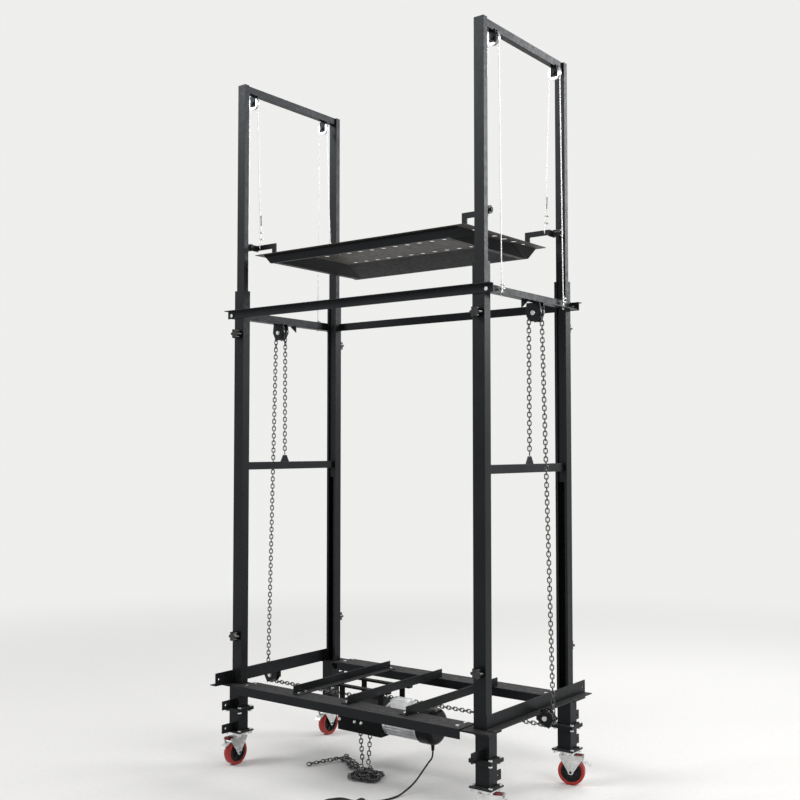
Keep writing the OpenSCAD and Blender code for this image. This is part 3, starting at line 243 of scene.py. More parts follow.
def skin(name, grids, finish, body, crease=math.radians(38)):
    """Makes one piece from grids of rings: each ring is closed round, neighbouring rings are joined by four-sided
    faces, a grid marked as a loop joins its last ring to its first, and any other gets its two ends closed.
    A grid whose enclosed volume comes out negative has its faces turned round."""
    places, faces, base = [], [], 0
    for grid, loop in grids:
        grid = np.asarray(grid, float)
        count, around = grid.shape[-3], grid.shape[-2]
        stack = grid.reshape(-1, count * around, 3)
        i = np.arange(count if loop else count - 1)[:, None]
        j = np.arange(around)[None, :]
        here, there, after = i * around, (i + 1) % count * around, (j + 1) % around
        quad = np.stack([here + j, here + after, there + after, there + j], -1).reshape(-1, 4)
        first = stack[0] - stack[0].mean(0)
        p, q, r, s = (first[quad[:, k]] for k in range(4))
        volume = (np.cross(p, q) * r).sum() + (np.cross(p, r) * s).sum()
        ring = np.arange(around)
        ends = [] if loop else [ring[::-1], (count - 1) * around + ring]
        for e in ends:
            c = first[e]
            volume += (np.cross(c[:1], c[1:-1]) * c[2:]).sum()
        if volume < 0:
            quad, ends = quad[:, ::-1], [e[::-1] for e in ends]
        shift = base + np.arange(len(stack)) * count * around
        faces += (quad[None] + shift[:, None, None]).reshape(-1, 4).tolist()
        for e in ends:
            faces += (e[None] + shift[:, None]).tolist()
        places.append(stack.reshape(-1, 3))
        base += stack.shape[0] * stack.shape[1]
    mesh = bpy.data.meshes.new(name)
    mesh.from_pydata(np.vstack(places), [], faces)
    mesh.validate()
    mesh.shade_smooth()
    mesh.set_sharp_from_angle(angle=crease)
    mesh.materials.append(finish)
    piece = bpy.data.objects.new(name, mesh)
    scene.collection.objects.link(piece)
    if body:
        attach(piece, body)
    return piece


def raised(finish, shader, height, strength, depth, **edges):
    """Raises a finish's surface by a value, over its rounded edges where those are given."""
    bump = layer(finish, "Bump", Height=height, Strength=strength, Distance=depth, **edges)
    feed(finish, bump.outputs["Normal"], shader.inputs["Normal"])


def clouded(name, scale, detail, dark, light, ends, gloss, reach=(0.3, 0.7), roughness=0.5, grain=None, rise=None,
            **sockets):
    """A finish whose colour and roughness follow one noise: dark to light between the ends, and the first to
    the second gloss over the reach. A rise (strength, depth) raises the surface by the same noise, or by a finer
    grain (scale, detail) where one is given."""
    finish, shader = start_finish(name, **sockets)
    place = place_of(finish)
    cloud = noise(finish, place, scale, detail, roughness)
    feed(finish, tinted(finish, cloud, dark, light, ends), shader.inputs["Base Color"])
    feed(finish, spread(finish, cloud, *reach, *gloss), shader.inputs["Roughness"])
    if rise:
        raised(finish, shader, noise(finish, place, *grain) if grain else cloud, *rise)
    return finish


cord_finish = clouded("cord_rubber", scale=55.0, detail=5.0, dark=(0.006, 0.006, 0.006),
                      light=(0.026, 0.025, 0.023), ends=(0.35, 0.8), gloss=(0.38, 0.62), reach=(0.0, 1.0),
                      grain=(900.0, 2.0), rise=(0.25, 0.0003), Specular_IOR_Level=0.20)

lead = smooth_through(cord_knots, 4)
coil = coil_path(coil_turns, coil_radius, coil_step, coil_lift) + coil_middle
tail = coil[-1] + np.linspace(0, 1, 8)[1:, None] * tail_reach
cord_line = np.vstack([lead, coil, tail])
flat_share = np.clip((-cord_line[:, 1:2] - lean_from) / lean_over, 0, 1)
cord_lean = (1 - flat_share) * np.array([1.0, 0.0, 0.0]) + flat_share * np.array([0.0, 0.0, 1.0])
cord_piece = skin("cord_lead", [(carry(cord_line, circle(cord_diameter / 2, 12), cord_lean), False)],
                  cord_finish, "frame")
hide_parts("power_cord", "power_cord_coil")

# Strap round the coil: a flat woven band of black nylon, once round all the turns.
# It is sewn into a closed loop, on the side of the coil away from the hoist.
band_half_long, band_half_tall, band_back, band_height = 0.0258, 0.0091, 0.050, 0.0095
weave_half_thick, weave_half_wide = 0.0004, 0.007
strap_finish, strap_shader = start_finish("strap_weave", Roughness=0.85, Specular_IOR_Level=0.25)
strap_wave = layer(strap_finish, "TexWave", {"bands_direction": "X"}, Vector=place_of(strap_finish), Scale=220.0,
                   Distortion=0.6).outputs["Fac"]
strap_tint = tinted(strap_finish, strap_wave, (0.012, 0.012, 0.013), (0.045, 0.045, 0.048))
feed(strap_finish, strap_tint, strap_shader.inputs["Base Color"])
raised(strap_finish, strap_shader, strap_wave, strength=0.5, depth=0.0004)


def rounded_loop(half_long, half_short, count, power):
    """A closed rounded box: a super-ellipse, each coordinate a power of the cosine or sine with its sign kept."""
    a = round_angles(count)
    c, s = np.cos(a), np.sin(a)
    return np.stack([half_long * np.sign(c) * np.abs(c) ** (2 / power),
                     half_short * np.sign(s) * np.abs(s) ** (2 / power)], -1)


band = rounded_loop(band_half_long, band_half_tall, 40, 5.0)
strap_line = np.stack([0 * band[:, 0] + coil_middle[0], coil_middle[1] - band_back + band[:, 0],
                       band_height + band[:, 1]], -1)
weave_section = rounded_loop(weave_half_thick, weave_half_wide, 12, 4.0)
strap = skin("cord_strap", [(carry(strap_line, weave_section, (1.0, 0.0, 0.0), True), True)],
             strap_finish, "frame")

# Plug: a moulded rubber body that swells from the cord to a flat face, with finger grooves.
# Two round pins of nickel-plated brass are moulded into its face.
plug_low, plug_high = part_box("power_plug")
plug_x, plug_z = (plug_low.x + plug_high.x) / 2, (plug_low.z + plug_high.z) / 2
plug_long, plug_half_wide, plug_half_tall, pin_pitch = 0.042, 0.017, 0.013, 0.019
neck_share, swell_end, swell_power = 0.34, 0.45, 0.7
groove_depth, groove_from, groove_to, groove_waves = 0.06, 0.5, 0.84, 6
plug_u = np.linspace(0, 1, 30)
plug_swell = neck_share + (1 - neck_share) * np.clip(plug_u / swell_end, 0, 1) ** swell_power
plug_wave = np.clip(np.sin((plug_u - groove_from) * groove_waves * math.pi), 0, 1)
plug_size = plug_swell * (1 - groove_depth * plug_wave * (plug_u > groove_from) * (plug_u < groove_to))
plug_ring = rounded_loop(1.0, 1.0, 32, 3.2)
plug_grid = np.stack([plug_x + plug_half_wide * plug_size[:, None] * plug_ring[:, 0],
                      plug_low.y + plug_long * plug_u[:, None] + 0 * plug_ring[:, 0],
                      plug_z + plug_half_tall * plug_size[:, None] * plug_ring[:, 1]], -1)
plug = skin("plug_body", [(plug_grid, False)], cord_finish, "frame")
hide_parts("power_plug")
nickel = clouded("pin_nickel", scale=420.0, detail=5.0, dark=(0.50, 0.48, 0.44), light=(0.78, 0.76, 0.72),
                 ends=(0.0, 1.0), gloss=(0.18, 0.34), Metallic=1.0)
pin_section = np.array([[2.4, -2.0], [2.4, 17.4], [2.1, 18.5], [1.3, 19.0]]) / 1000


def turned_post(section, count):
    """A section (radius, height) turned round an upright axis: radius times cosine and sine, the height kept."""
    a = round_angles(count)
    return np.stack([section[:, :1] * np.cos(a), section[:, :1] * np.sin(a), section[:, 1:] + 0 * a], -1)


pin_spots = np.array([[plug_x + way * pin_pitch / 2, plug_low.y + plug_long, plug_z] for way in (-1, 1)])
pin_grid = turned_post(pin_section, 18)[..., [0, 2, 1]]
plug_pins = skin("plug_pins", [(pin_grid + pin_spots[:, None, None], False)], nickel, "frame")

# Welded side frames: slotted square columns with a top side rail, a base end rail, wheel cheeks and clamp bosses.
# Cut and welded steel under black powder coat, which is dusty on top faces, where its lighter colour is also a
# painted sheen of the sky, scuffed along its length and thin on edges.
paint, paint_shader = start_finish("frame_paint", Specular_IOR_Level=0.20, Specular_Tint=(0.82, 0.91, 1.0, 1))


def mixed(finish, share, under, over):
    """Two colours mixed, with the given share of the second."""
    return layer(finish, "MixRGB", n0=share, n1=under, n2=over).outputs["Color"]


paint_place = place_of(paint)
paint_way = layer(paint, "NewGeometry").outputs
paint_up = layer(paint, "SeparateXYZ", Vector=paint_way["Normal"]).outputs["Z"]
paint_round = layer(paint, "Bevel", {"samples": 4}, Radius=0.0022).outputs["Normal"]
paint_edge = layer(paint, "VectorMath", {"operation": "DOT_PRODUCT"}, n0=paint_round,
                   n1=paint_way["True Normal"]).outputs["Value"]
paint_worn = spread(paint, paint_edge, 0.995, 0.80)
paint_cloud = noise(paint, paint_place, scale=6.0, detail=6.0, roughness=0.62)
paint_grit = noise(paint, paint_place, scale=38.0, detail=8.0, roughness=0.7)
paint_tone = tinted(paint, paint_cloud, (0.0030, 0.0031, 0.0033), (0.0075, 0.0076, 0.0080), ends=(0.3, 0.75))
# Faces that look up are lighter: partly dust, partly a painted sheen of the sky on them.
paint_top_faces = spread(paint, paint_up, 0.55, 0.95, interpolation_type="SMOOTHSTEP")
paint_dust_and_sheen = worked(paint, "MULTIPLY", paint_top_faces, spread(paint, paint_grit, 0.40, 0.72, 0.22, 0.48))
paint_dusty_and_sheen = mixed(paint, paint_dust_and_sheen, paint_tone, (0.060, 0.057, 0.052, 1))
paint_stretch = layer(paint, "Mapping", Vector=paint_place, Scale=(420.0, 420.0, 14.0)).outputs["Vector"]
paint_line = noise(paint, paint_stretch, scale=1.0, detail=3.0)
paint_scratch = spread(paint, paint_line, 0.70, 0.80, 0.0, 0.5)
paint_rub = worked(paint, "MULTIPLY", paint_scratch, spread(paint, paint_cloud, 0.50, 0.66))
paint_thin = worked(paint, "MULTIPLY", paint_worn, spread(paint, paint_grit, 0.40, 0.62, 0.15, 0.8))
paint_bare = worked(paint, "MAXIMUM", paint_rub, paint_thin)
paint_tint = mixed(paint, paint_bare, paint_dusty_and_sheen, (0.045, 0.045, 0.047, 1))
feed(paint, paint_tint, paint_shader.inputs["Base Color"])
paint_gloss = spread(paint, paint_grit, 0.3, 0.7, 0.30, 0.50)
feed(paint, worked(paint, "ADD", paint_gloss, paint_dust_and_sheen), paint_shader.inputs["Roughness"])
paint_peel = noise(paint, paint_place, scale=480.0, detail=2.0)
raised(paint, paint_shader, paint_peel, strength=0.10, depth=0.0004, Normal=paint_round)


def dress(finish, *names):
    """Gives CAD nodes a finish in place of the plain one, and smooths the shading of their round faces."""
    for name in names:
        mesh = nodes[name].data
        mesh.materials.clear()
        mesh.materials.append(finish)
        mesh.shade_smooth()


dress(paint, "side_frame_left", "side_frame_right")

# Base channels, cross angles and top rails: folded and rolled steel under the same black powder coat.
# They are bolted to the corner plates, to the side frames and to each other.
dress(paint, "base_channel_front", "base_channel_back", "cross_angles", "top_rail_front", "top_rail_back")

# Legs: square tube welded under a corner plate, with a collar, pierced ears for stabiliser pins and a foot plate.
# Cut steel under the same powder coat, bolted under the side frames.
dress(paint, "legs_left", "legs_right")

# Frame bolts: hexagon bolts, nuts and threads, bright zinc plated.
# The plating has small grains of different brightness and dulls in patches.
zinc, zinc_shader = start_finish("zinc", Metallic=1.0)
zinc_place = place_of(zinc)
zinc_cloud = noise(zinc, zinc_place, scale=26.0, detail=6.0)
zinc_grain = layer(zinc, "TexVoronoi", {"feature": "F1"}, Vector=zinc_place, Scale=190.0).outputs["Color"]
zinc_step = layer(zinc, "SeparateXYZ", Vector=zinc_grain).outputs["X"]
zinc_sum = mixed(zinc, 0.82, zinc_step, zinc_cloud)
zinc_tint = tinted(zinc, zinc_sum, (0.46, 0.47, 0.47), (0.86, 0.87, 0.87), ends=(0.25, 0.75))
feed(zinc, zinc_tint, zinc_shader.inputs["Base Color"])
feed(zinc, spread(zinc, zinc_cloud, 0.3, 0.7, 0.20, 0.34), zinc_shader.inputs["Roughness"])
zinc_round = layer(zinc, "Bevel", {"samples": 4}, Radius=0.0008).outputs["Normal"]
raised(zinc, zinc_shader, zinc_cloud, strength=0.12, depth=0.0005, Normal=zinc_round)
dress(zinc, "frame_bolts")

# Caster plates, forks and brake pedals: pressed steel, zinc plated.
# The forks turn in a ball race riveted under the plates, and the pedals pivot on pins through the forks.
corners = ["left_front", "left_back", "right_front", "right_back"]
dress(zinc, "caster_top_plates", *[part + "_" + n for part in ("caster_fork", "brake_pedal") for n in corners])

# Caster wheels: a red cast polyurethane tyre on a black nylon hub with six ribs a side and a plain bore.
# The tyre is glossy where it doesn't touch the floor and carries grey floor dust on its tread.
tyre_finish = clouded("red_tyre", scale=48.0, detail=7.0, roughness=0.65, dark=(0.370, 0.0095, 0.0065),
                      light=(0.330, 0.030, 0.023), ends=(0.30, 0.78), gloss=(0.25, 0.55), rise=(0.15, 0.0006),
                      Specular_IOR_Level=0.35, Coat_Weight=0.10)
nylon = clouded("black_plastic", scale=70.0, detail=6.0, dark=(0.005, 0.005, 0.0055),
                light=(0.016, 0.0155, 0.015), ends=(0.35, 0.8), gloss=(0.28, 0.45), grain=(1300.0, 1.0),
                rise=(0.15, 0.0002), Specular_IOR_Level=0.25)
caster_out, caster_side = 0.728, 0.348
caster_centres = np.array([[x * caster_out, y * caster_side] for x in (-1, 1) for y in (-1, 1)])
caster_headings = np.radians([270.0, 270.0, 17.0, 17.0])
caster_trail, wheel_radius = 0.020, 0.0625


def turned_ring(section, count):
    """A section (radius, width) turned round the axle: radius times cosine and sine, the width along the axle.
    A section with one row per angle gives a shape that changes as it goes round."""
    a = round_angles(count)[:, None]
    section = np.broadcast_to(section, (count,) + section.shape[-2:])
    return np.stack([section[..., 0] * np.cos(a), section[..., 1], section[..., 0] * np.sin(a)], -1)


def on_caster(shape, i):
    """Moves a shape from the origin to the axle of caster i: out by the trail, up by the wheel radius, turned to
    the caster's heading."""
    c, s = math.cos(caster_headings[i]), math.sin(caster_headings[i])
    out = shape[..., 0] + caster_trail
    return np.stack([c * out - s * shape[..., 1] + caster_centres[i, 0],
                     s * out + c * shape[..., 1] + caster_centres[i, 1], shape[..., 2] + wheel_radius], -1)


tyre_middle, tyre_half_tall, tyre_half_wide = 0.0547, 0.0078, 0.019
tyre_section = rounded_loop(tyre_half_tall, tyre_half_wide, 30, 4.5) + np.array([tyre_middle, 0.0])
hub_count, rib_count, rib_tall, rib_inner, rib_outer = 144, 6, 0.006, 0.0165, 0.038
rib_edge, rib_slope = 0.72, 0.16
hub_r = np.array([5.4, 14.6, 15.4, 16.2, 19.0, 24.0, 29.0, 34.0, 37.5, 38.8, 40.0, 47.3]) / 1000
hub_h = np.array([22.0, 22.0, 21.2, 11.0, 8.0, 8.0, 8.0, 8.0, 9.0, 15.0, 17.4, 17.8]) / 1000
rib_share = np.clip((np.cos(rib_count * round_angles(hub_count)[:, None]) - rib_edge) / rib_slope, 0, 1)
hub_half = hub_h + rib_share * np.where((hub_r > rib_inner) & (hub_r < rib_outer), rib_tall, 0.0)
hub_round = np.broadcast_to(hub_r, hub_half.shape)
hub_section = np.stack([np.concatenate([hub_round, hub_round[:, ::-1]], 1),
                        np.concatenate([hub_half, -hub_half[:, ::-1]], 1)], -1)
tyre_grid, hub_grid = turned_ring(tyre_section, 72), turned_ring(hub_section, hub_count)
for i, corner in enumerate(corners):
    wheel = "caster_wheel_" + corner
    tyre = skin("tyre_" + corner, [(on_caster(tyre_grid, i), True)], tyre_finish, wheel)
    skin("hub_" + corner, [(on_caster(hub_grid, i), True)], nylon, wheel)
    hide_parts(wheel)

# Caster axle ends: the drilled ends of the axle bolts, in the heads on both sides of each fork.
# Turned steel, drawn as dark discs in the black plastic finish: painted shade of the drilled holes.
axle_face = 0.033
drilled_end_shade = np.array([[6.0, -0.6], [6.0, 0.7], [5.2, 0.7], [4.8, 0.2]]) / 1000
end_post = turned_post(drilled_end_shade, 18)
end_grids = [np.stack([end_post[..., 0], way * (axle_face + end_post[..., 2]), end_post[..., 1]], -1)
             for way in (-1, 1)]
for i, corner in enumerate(corners):
    skin("axle_ends_" + corner, [(on_caster(grid, i), False) for grid in end_grids], nylon,
         "caster_fork_" + corner)

# Hoist case: a folded sheet box with chain windows, hung by two bars from the cross angles.
# The same black as the frame with a weaker reflection: a shaded copy of the frame paint, which paints the shade the
# case hangs in.
shaded_dull_paint = paint.copy()
shaded_dull_paint.node_tree.nodes["Principled BSDF"].inputs["Specular IOR Level"].default_value = 0.07
dress(shaded_dull_paint, "hoist_case")

# Case bolts: three hexagon bolts with washers, zinc plated.
# They are screwed through the front of the hoist case.
case_front, case_bolt_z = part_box("hoist_case")[0].y, 0.234
washer_section = np.array([[7.6, 0.0], [7.6, 1.2], [7.2, 1.5], [3.0, 1.5]]) / 1000
head_section = np.array([[6.5, 1.2], [6.5, 5.6], [5.8, 6.6], [2.0, 6.9]]) / 1000
case_spots = np.array([[x, case_front, case_bolt_z] for x in (-0.281, -0.186, -0.145)])


def laid_forward(post, spots):
    """A post laid with its height towards the front, moved to each spot."""
    return np.stack([post[..., 0], -post[..., 2], post[..., 1]], -1) + spots[:, None, None]


skin("hoist_case_bolts", [(laid_forward(turned_post(washer_section, 20), case_spots), False),
                          (laid_forward(turned_post(head_section, 6), case_spots), False)], zinc, "frame")

# Hoist motor: a cast aluminium body with cooling fins, end bells and a terminal box.
# The metal is left as cast, bolted to the end of the hoist case.
alloy = clouded("motor_alloy", scale=30.0, detail=7.0, dark=(0.60, 0.61, 0.62), light=(0.86, 0.87, 0.88),
                ends=(0.3, 0.75), gloss=(0.32, 0.52), grain=(650.0, 3.0), rise=(0.3, 0.0004), Metallic=0.55)
dress(alloy, "hoist_motor")

# Terminal box lid: a cast cover with rounded corners on the motor's terminal box.
# It is held by four round-head screws, zinc plated.
lid_middle = np.array([0.078, -0.062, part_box("hoist_motor")[1].z])
lid_half_long, lid_half_wide, screw_in = 0.049, 0.030, (0.041, 0.023)
lid_rise = np.array([0.0, 0.0032, 0.0044, 0.0048])
lid_share = np.array([1.0, 1.0, 0.985, 0.955])
screw_section = np.array([[3.4, -1.0], [3.4, 0.8], [2.9, 1.7], [1.4, 2.1], [0.5, 1.5]]) / 1000
lid_ring = lid_share[:, None, None] * rounded_loop(lid_half_long, lid_half_wide, 48, 6.0)
lid_up = np.broadcast_to(lid_rise[:, None, None], lid_ring.shape[:2] + (1,))
screw_spots = lid_middle + np.array([[x * screw_in[0], y * screw_in[1], lid_rise[-1]]
                                     for x in (-1, 1) for y in (-1, 1)])
lid_grid = lid_middle + np.concatenate([lid_ring, lid_up], -1)
screw_grids = turned_post(screw_section, 16) + screw_spots[:, None, None]
skin("terminal_lid", [(lid_grid, False)], alloy, "frame")
skin("terminal_screws", [(screw_grids, False)], zinc, "frame")

# Fan cover: a dome moulded in glossy black plastic, pushed over the end of the motor.
# The cord's strain relief is moulded into its underside.
cover_black = clouded("cover_plastic", scale=34.0, detail=7.0, dark=(0.0030, 0.0031, 0.0036),
                      light=(0.0090, 0.0090, 0.0095), ends=(0.4, 0.85), gloss=(0.14, 0.30),
                      Specular_IOR_Level=0.13)
dress(cover_black, "hoist_fan_cover")

# Chain wheels and hoist drive wheels: cast steel with two flanges, turning on plain pins.
# They are greasy and dark, as the chain is.
chain_steel = clouded("chain_steel", scale=110.0, detail=6.0, dark=(0.010, 0.010, 0.011),
                      light=(0.055, 0.054, 0.056), ends=(0.35, 0.72), gloss=(0.16, 0.36), rise=(0.2, 0.0005),
                      Metallic=0.35, Specular_IOR_Level=0.5, Coat_Weight=0.7, Coat_Roughness=0.10)
dress(chain_steel, *[wheel + side for wheel in ("chain_wheel_upper_", "chain_wheel_lower_", "drive_wheel_")
                     for side in ("left", "right")])

# Axle bolts of the chain wheels: a socket-head bolt and washer on both cheeks of each wheel, bright zinc plated.
# The hexagon socket is a dark plug in the black plastic finish, a painted shade of its recess.
upper_wheel, lower_wheel = np.array([0.748, 2.165]), np.array([0.795, 0.375])
chain_y, cheek_out = 0.040, 0.0195
half_turn = np.array([-1.0, -1.0, 1.0])
bolt_section = np.array([[11.0, 0.0], [11.0, 1.7], [10.6, 2.1], [9.9, 2.2], [9.9, 6.6], [9.4, 7.1],
                         [4.9, 7.1]]) / 1000
socket_shade_section = np.array([[4.9, 6.0], [4.9, 7.15], [4.2, 7.15], [3.9, 6.6]]) / 1000


def on_cheeks(post):
    """A post on both cheeks of the upper and the lower wheel, its height along the way the cheek looks, and the
    same once more half a turn round the middle of the object."""
    grids = []
    for way in (-1, 1):
        laid = np.stack([post[..., 0], way * post[..., 2], post[..., 1]], -1)
        spots = np.array([[x, chain_y + way * cheek_out, z] for x, z in (upper_wheel, lower_wheel)])
        here = laid + spots[:, None, None]
        grids += [(here, False), (here * half_turn, False)]
    return grids


skin("wheel_axle_bolts", on_cheeks(turned_post(bolt_section, 28)), zinc, "frame")
skin("wheel_axle_sockets", on_cheeks(turned_post(socket_shade_section, 6)), nylon, "frame")

# Lift chains: links of round steel wire, bent, welded and oiled, each square to the next. They go from the masts'
# side of the upper wheels over and down to the lower wheels, in along the base and over the drive wheels to the
# floor.
link_pitch, link_wire, link_gap, link_play = 0.019, 0.0055, 0.0106, 0.0004
pitch_radius, drive_z = 0.033, 0.309
link_corners, wire_corners = 12, 6
link_angle = round_angles(link_corners)[:, None] + math.pi / link_corners
wire_angle = round_angles(wire_corners)[None, :]
link_reach = (link_gap + link_wire) / 2 + link_wire / 2 * np.cos(wire_angle)
link_half = np.sign(np.sin(link_angle)) * (link_pitch + link_play - link_gap) / 2
link_shape = np.stack([link_reach * np.cos(link_angle), link_wire / 2 * np.sin(wire_angle) + 0 * link_angle,
                       link_reach * np.sin(link_angle) + link_half], -1)


def chain_of(spots, along, side, roll):
    """Links set on a line of spots: a link is a ring of round wire round two half circles and two straights, its
    length laid along the chain and its width turned about it by a roll, with every other one square to the last."""
    along = along / np.linalg.norm(along, axis=1, keepdims=True)
    across = np.cross(np.broadcast_to(side, along.shape), along)
    across = across / np.linalg.norm(across, axis=1, keepdims=True)
    third = np.cross(along, across)
    turn = roll + np.arange(len(spots)) % 2 * math.pi / 2
    c, s = np.cos(turn)[:, None], np.sin(turn)[:, None]
    axes = np.stack([c * across + s * third, c * third - s * across, along], 1)
    return spots[:, None, None] + link_shape @ axes[:, None]


def lift_route(drive_x, floor_gap, sway, ease=0.12, drop_ease=0.08, sway_power=1.3):
    """Spots, headings and freedom to turn, one link apart, along straights and arcs: over the upper wheel, down,
    round the lower wheel, level in to the drive wheel, over its far side and down. The last drop sways out by a
    power of the way down it."""
    quarter = math.pi / 2
    lean = math.atan2(lower_wheel[0] - upper_wheel[0], upper_wheel[1] - lower_wheel[1])
    down = float(np.linalg.norm(lower_wheel - upper_wheel))
    runs = np.cumsum([pitch_radius * (math.pi - lean), down, pitch_radius * (quarter + lean),
                      lower_wheel[0] - drive_x, pitch_radius * quarter, drive_z - floor_gap])
    s = np.arange(0.0, runs[-1], link_pitch)
    still = 0 * s
    a = math.pi - s / pitch_radius
    b = lean - (s - runs[1]) / pitch_radius
    d = quarter + (s - runs[3]) / pitch_radius
    drop = s - runs[0]
    pieces_x = [upper_wheel[0] + pitch_radius * np.cos(a),
                upper_wheel[0] + pitch_radius * math.cos(lean) + drop * math.sin(lean),
                lower_wheel[0] + pitch_radius * np.cos(b), lower_wheel[0] - (s - runs[2]),
                drive_x + pitch_radius * np.cos(d), drive_x - pitch_radius + still]
    pieces_z = [upper_wheel[1] + pitch_radius * np.sin(a),
                upper_wheel[1] + pitch_radius * math.sin(lean) - drop * math.cos(lean),
                lower_wheel[1] + pitch_radius * np.sin(b), lower_wheel[1] - pitch_radius + still,
                drive_z + pitch_radius * np.sin(d), drive_z - (s - runs[4])]
    head = [a - quarter, lean - quarter + still, b - quarter, math.pi + still, d + quarter, 3 * quarter + still]
    where = [s < r for r in runs[:-1]] + [s >= runs[-2]]
    x, z, h = np.select(where, pieces_x), np.select(where, pieces_z), np.select(where, head)
    hang = np.clip((s - runs[4]) / (runs[5] - runs[4]), 0, 1)[:, None] ** sway_power * np.array([*sway, 0.0])
    free = np.clip(np.minimum(s - runs[0], runs[1] - s) / ease, 0, 1) + np.clip((s - runs[4]) / drop_ease, 0, 1)
    return np.stack([x, chain_y + still, z], -1) + hang, np.stack([np.cos(h), still, np.sin(h)], -1), free


right_roll, left_roll = 0.60, 0.74
chain_side = (0.0, 1.0, 0.0)
right_spots, right_way, right_free = lift_route(drive_x=-0.160, floor_gap=0.022, sway=(0.040, -0.075))
left_spots, left_way, left_free = lift_route(drive_x=0.240, floor_gap=0.026, sway=(-0.014, -0.010))
right_links = chain_of(right_spots, right_way, chain_side, -right_roll * right_free)
left_links = chain_of(left_spots * half_turn, left_way * half_turn, chain_side, -left_roll * left_free)
lift_links = skin("lift_chain_links", [(right_links, True), (left_links, True)], chain_steel, "frame")
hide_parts("lift_chains")

# Slack chain: the spare length of both lift chains, fallen in loops on the floor under the drive wheels.
# Most of it lies in a flat pile towards the front, and one end trails off to the left.
pile_middles = np.array([[-80, -130], [-52, -168], [-82, -158], [-42, -156], [-68, -166], [-88, -124]]) / 1000
pile_reach = np.array([70, 84, 82, 72, 54, 32]) / 1000
trail_middles = np.array([[-412, -176], [-385, -120], [-352, -44], [-330, 22], [-290, -30], [-240, -62],
                          [-176, -84]]) / 1000
trail_reach = np.array([0, 3, 10, 26, 34, 36, 30]) / 1000
floor_link, lie_roll = 0.0108, 0.785


def fallen_chain(middles, reach, loops, rise, rock, rock_step):
    """Links a pitch apart on a looping line: a middle that moves along the given points, a circle round it that
    swells and shrinks, and a height that climbs from the floor along the line, more in the middle of the pile.
    Each link lies halfway over, rocked by a sine of its number."""
    steady, swing, swell_rate, swell_start = 0.72, 0.28, 1.37, 0.6
    squat, wander, wander_rate, crown = 0.86, 0.25, 0.61, 1.15
    t = np.linspace(0, 1, 8000)
    key = np.linspace(0, 1, len(middles))
    middle = np.stack([np.interp(t, key, middles[:, k]) for k in (0, 1)], -1)
    turn = 2 * math.pi * loops * t
    swell = np.interp(t, key, reach) * (steady + swing * np.sin(swell_rate * turn + swell_start))
    ring = np.stack([np.cos(turn), squat * np.sin(turn + wander * np.sin(wander_rate * turn))], -1)
    height = floor_link + rise * t * (crown - swell / np.max(reach))
    line = np.column_stack([middle + swell[:, None] * ring, height])
    run = np.concatenate([[0], np.cumsum(np.linalg.norm(np.diff(line, axis=0), axis=1))])
    s = np.arange(0, run[-1], link_pitch)
    spots = np.stack([np.interp(s, run, line[:, k]) for k in range(3)], -1)
    roll = lie_roll + rock * np.sin(np.arange(len(spots)) * rock_step)
    return chain_of(spots, np.gradient(spots, axis=0), (0.0, 0.0, 1.0), roll)


pile_links = fallen_chain(pile_middles, pile_reach, loops=9.3, rise=0.030, rock=0.26, rock_step=1.7)
trail_links = fallen_chain(trail_middles, trail_reach, loops=7.0, rise=0.016, rock=0.24, rock_step=2.3)
heap_links = skin("slack_chain_links", [(pile_links, True), (trail_links, True)], chain_steel, "frame")
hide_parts("chain_heap")

# Anchor strands: the last stretch of each lift chain, from the upper wheel down to the gusset on the mast crossbar.
# The same welded links.
anchor_foot, anchor_last, anchor_ease = 1.521, 1.528, 0.12
anchor_z = np.arange(upper_wheel[1] - link_pitch, anchor_last, -link_pitch)
anchor_spots = np.stack([0 * anchor_z + upper_wheel[0] - pitch_radius, 0 * anchor_z + chain_y, anchor_z], -1)
anchor_way = np.broadcast_to(np.array([0.0, 0.0, 1.0]), anchor_spots.shape)
anchor_free = np.clip((upper_wheel[1] - anchor_z) / anchor_ease, 0, 1)
anchor_grids = [(chain_of(spots, anchor_way, chain_side, math.pi / 2 + roll * anchor_free), True)
                for spots, roll in ((anchor_spots, right_roll), (anchor_spots * half_turn, left_roll))]
anchor_links = skin("anchor_chain_links", anchor_grids, chain_steel, None)
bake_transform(anchor_links)
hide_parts("anchor_chains")

# Telescopic masts: square tube frames that slide in the columns, with crossbars, chain gussets and sheave cheeks.
# Welded steel under the same powder coat as the side frames.
dress(paint, "mast_frame_left", "mast_frame_right")

# Rope sheaves: turned steel wheels with a rope groove, zinc plated.
# They turn on bolts through the cheeks under the mast tops.
dress(zinc, *["rope_sheave_" + n for n in corners])

# Wire ropes: six strands of galvanised steel wire twisted round each other. They go from the top side rails over
# the sheaves and down to the platform brackets, and each is turned back on itself at both ends.
rope_radius, rope_lay, rope_y, rope_step = 0.0025, 0.034, 0.270, 0.004
rope_strands, strand_pull = 6, 0.20
sheave_mid, sheave_up, sheave_turn = 0.7275, 3.330, 0.0275
outer_foot, inner_foot = (0.7649, 2.230), (0.6729, 2.612)
rope_lean, eye_lean = (0.0, 1.0, 0.0), (1.0, 0.0, 0.0)
rope_finish = clouded("wire_rope", scale=140.0, detail=5.0, dark=(0.50, 0.50, 0.49), light=(0.80, 0.80, 0.79),
                      ends=(0.3, 0.7), gloss=(0.30, 0.5), grain=(1600.0, 1.0), rise=(0.3, 0.0002),
                      Metallic=0.75)


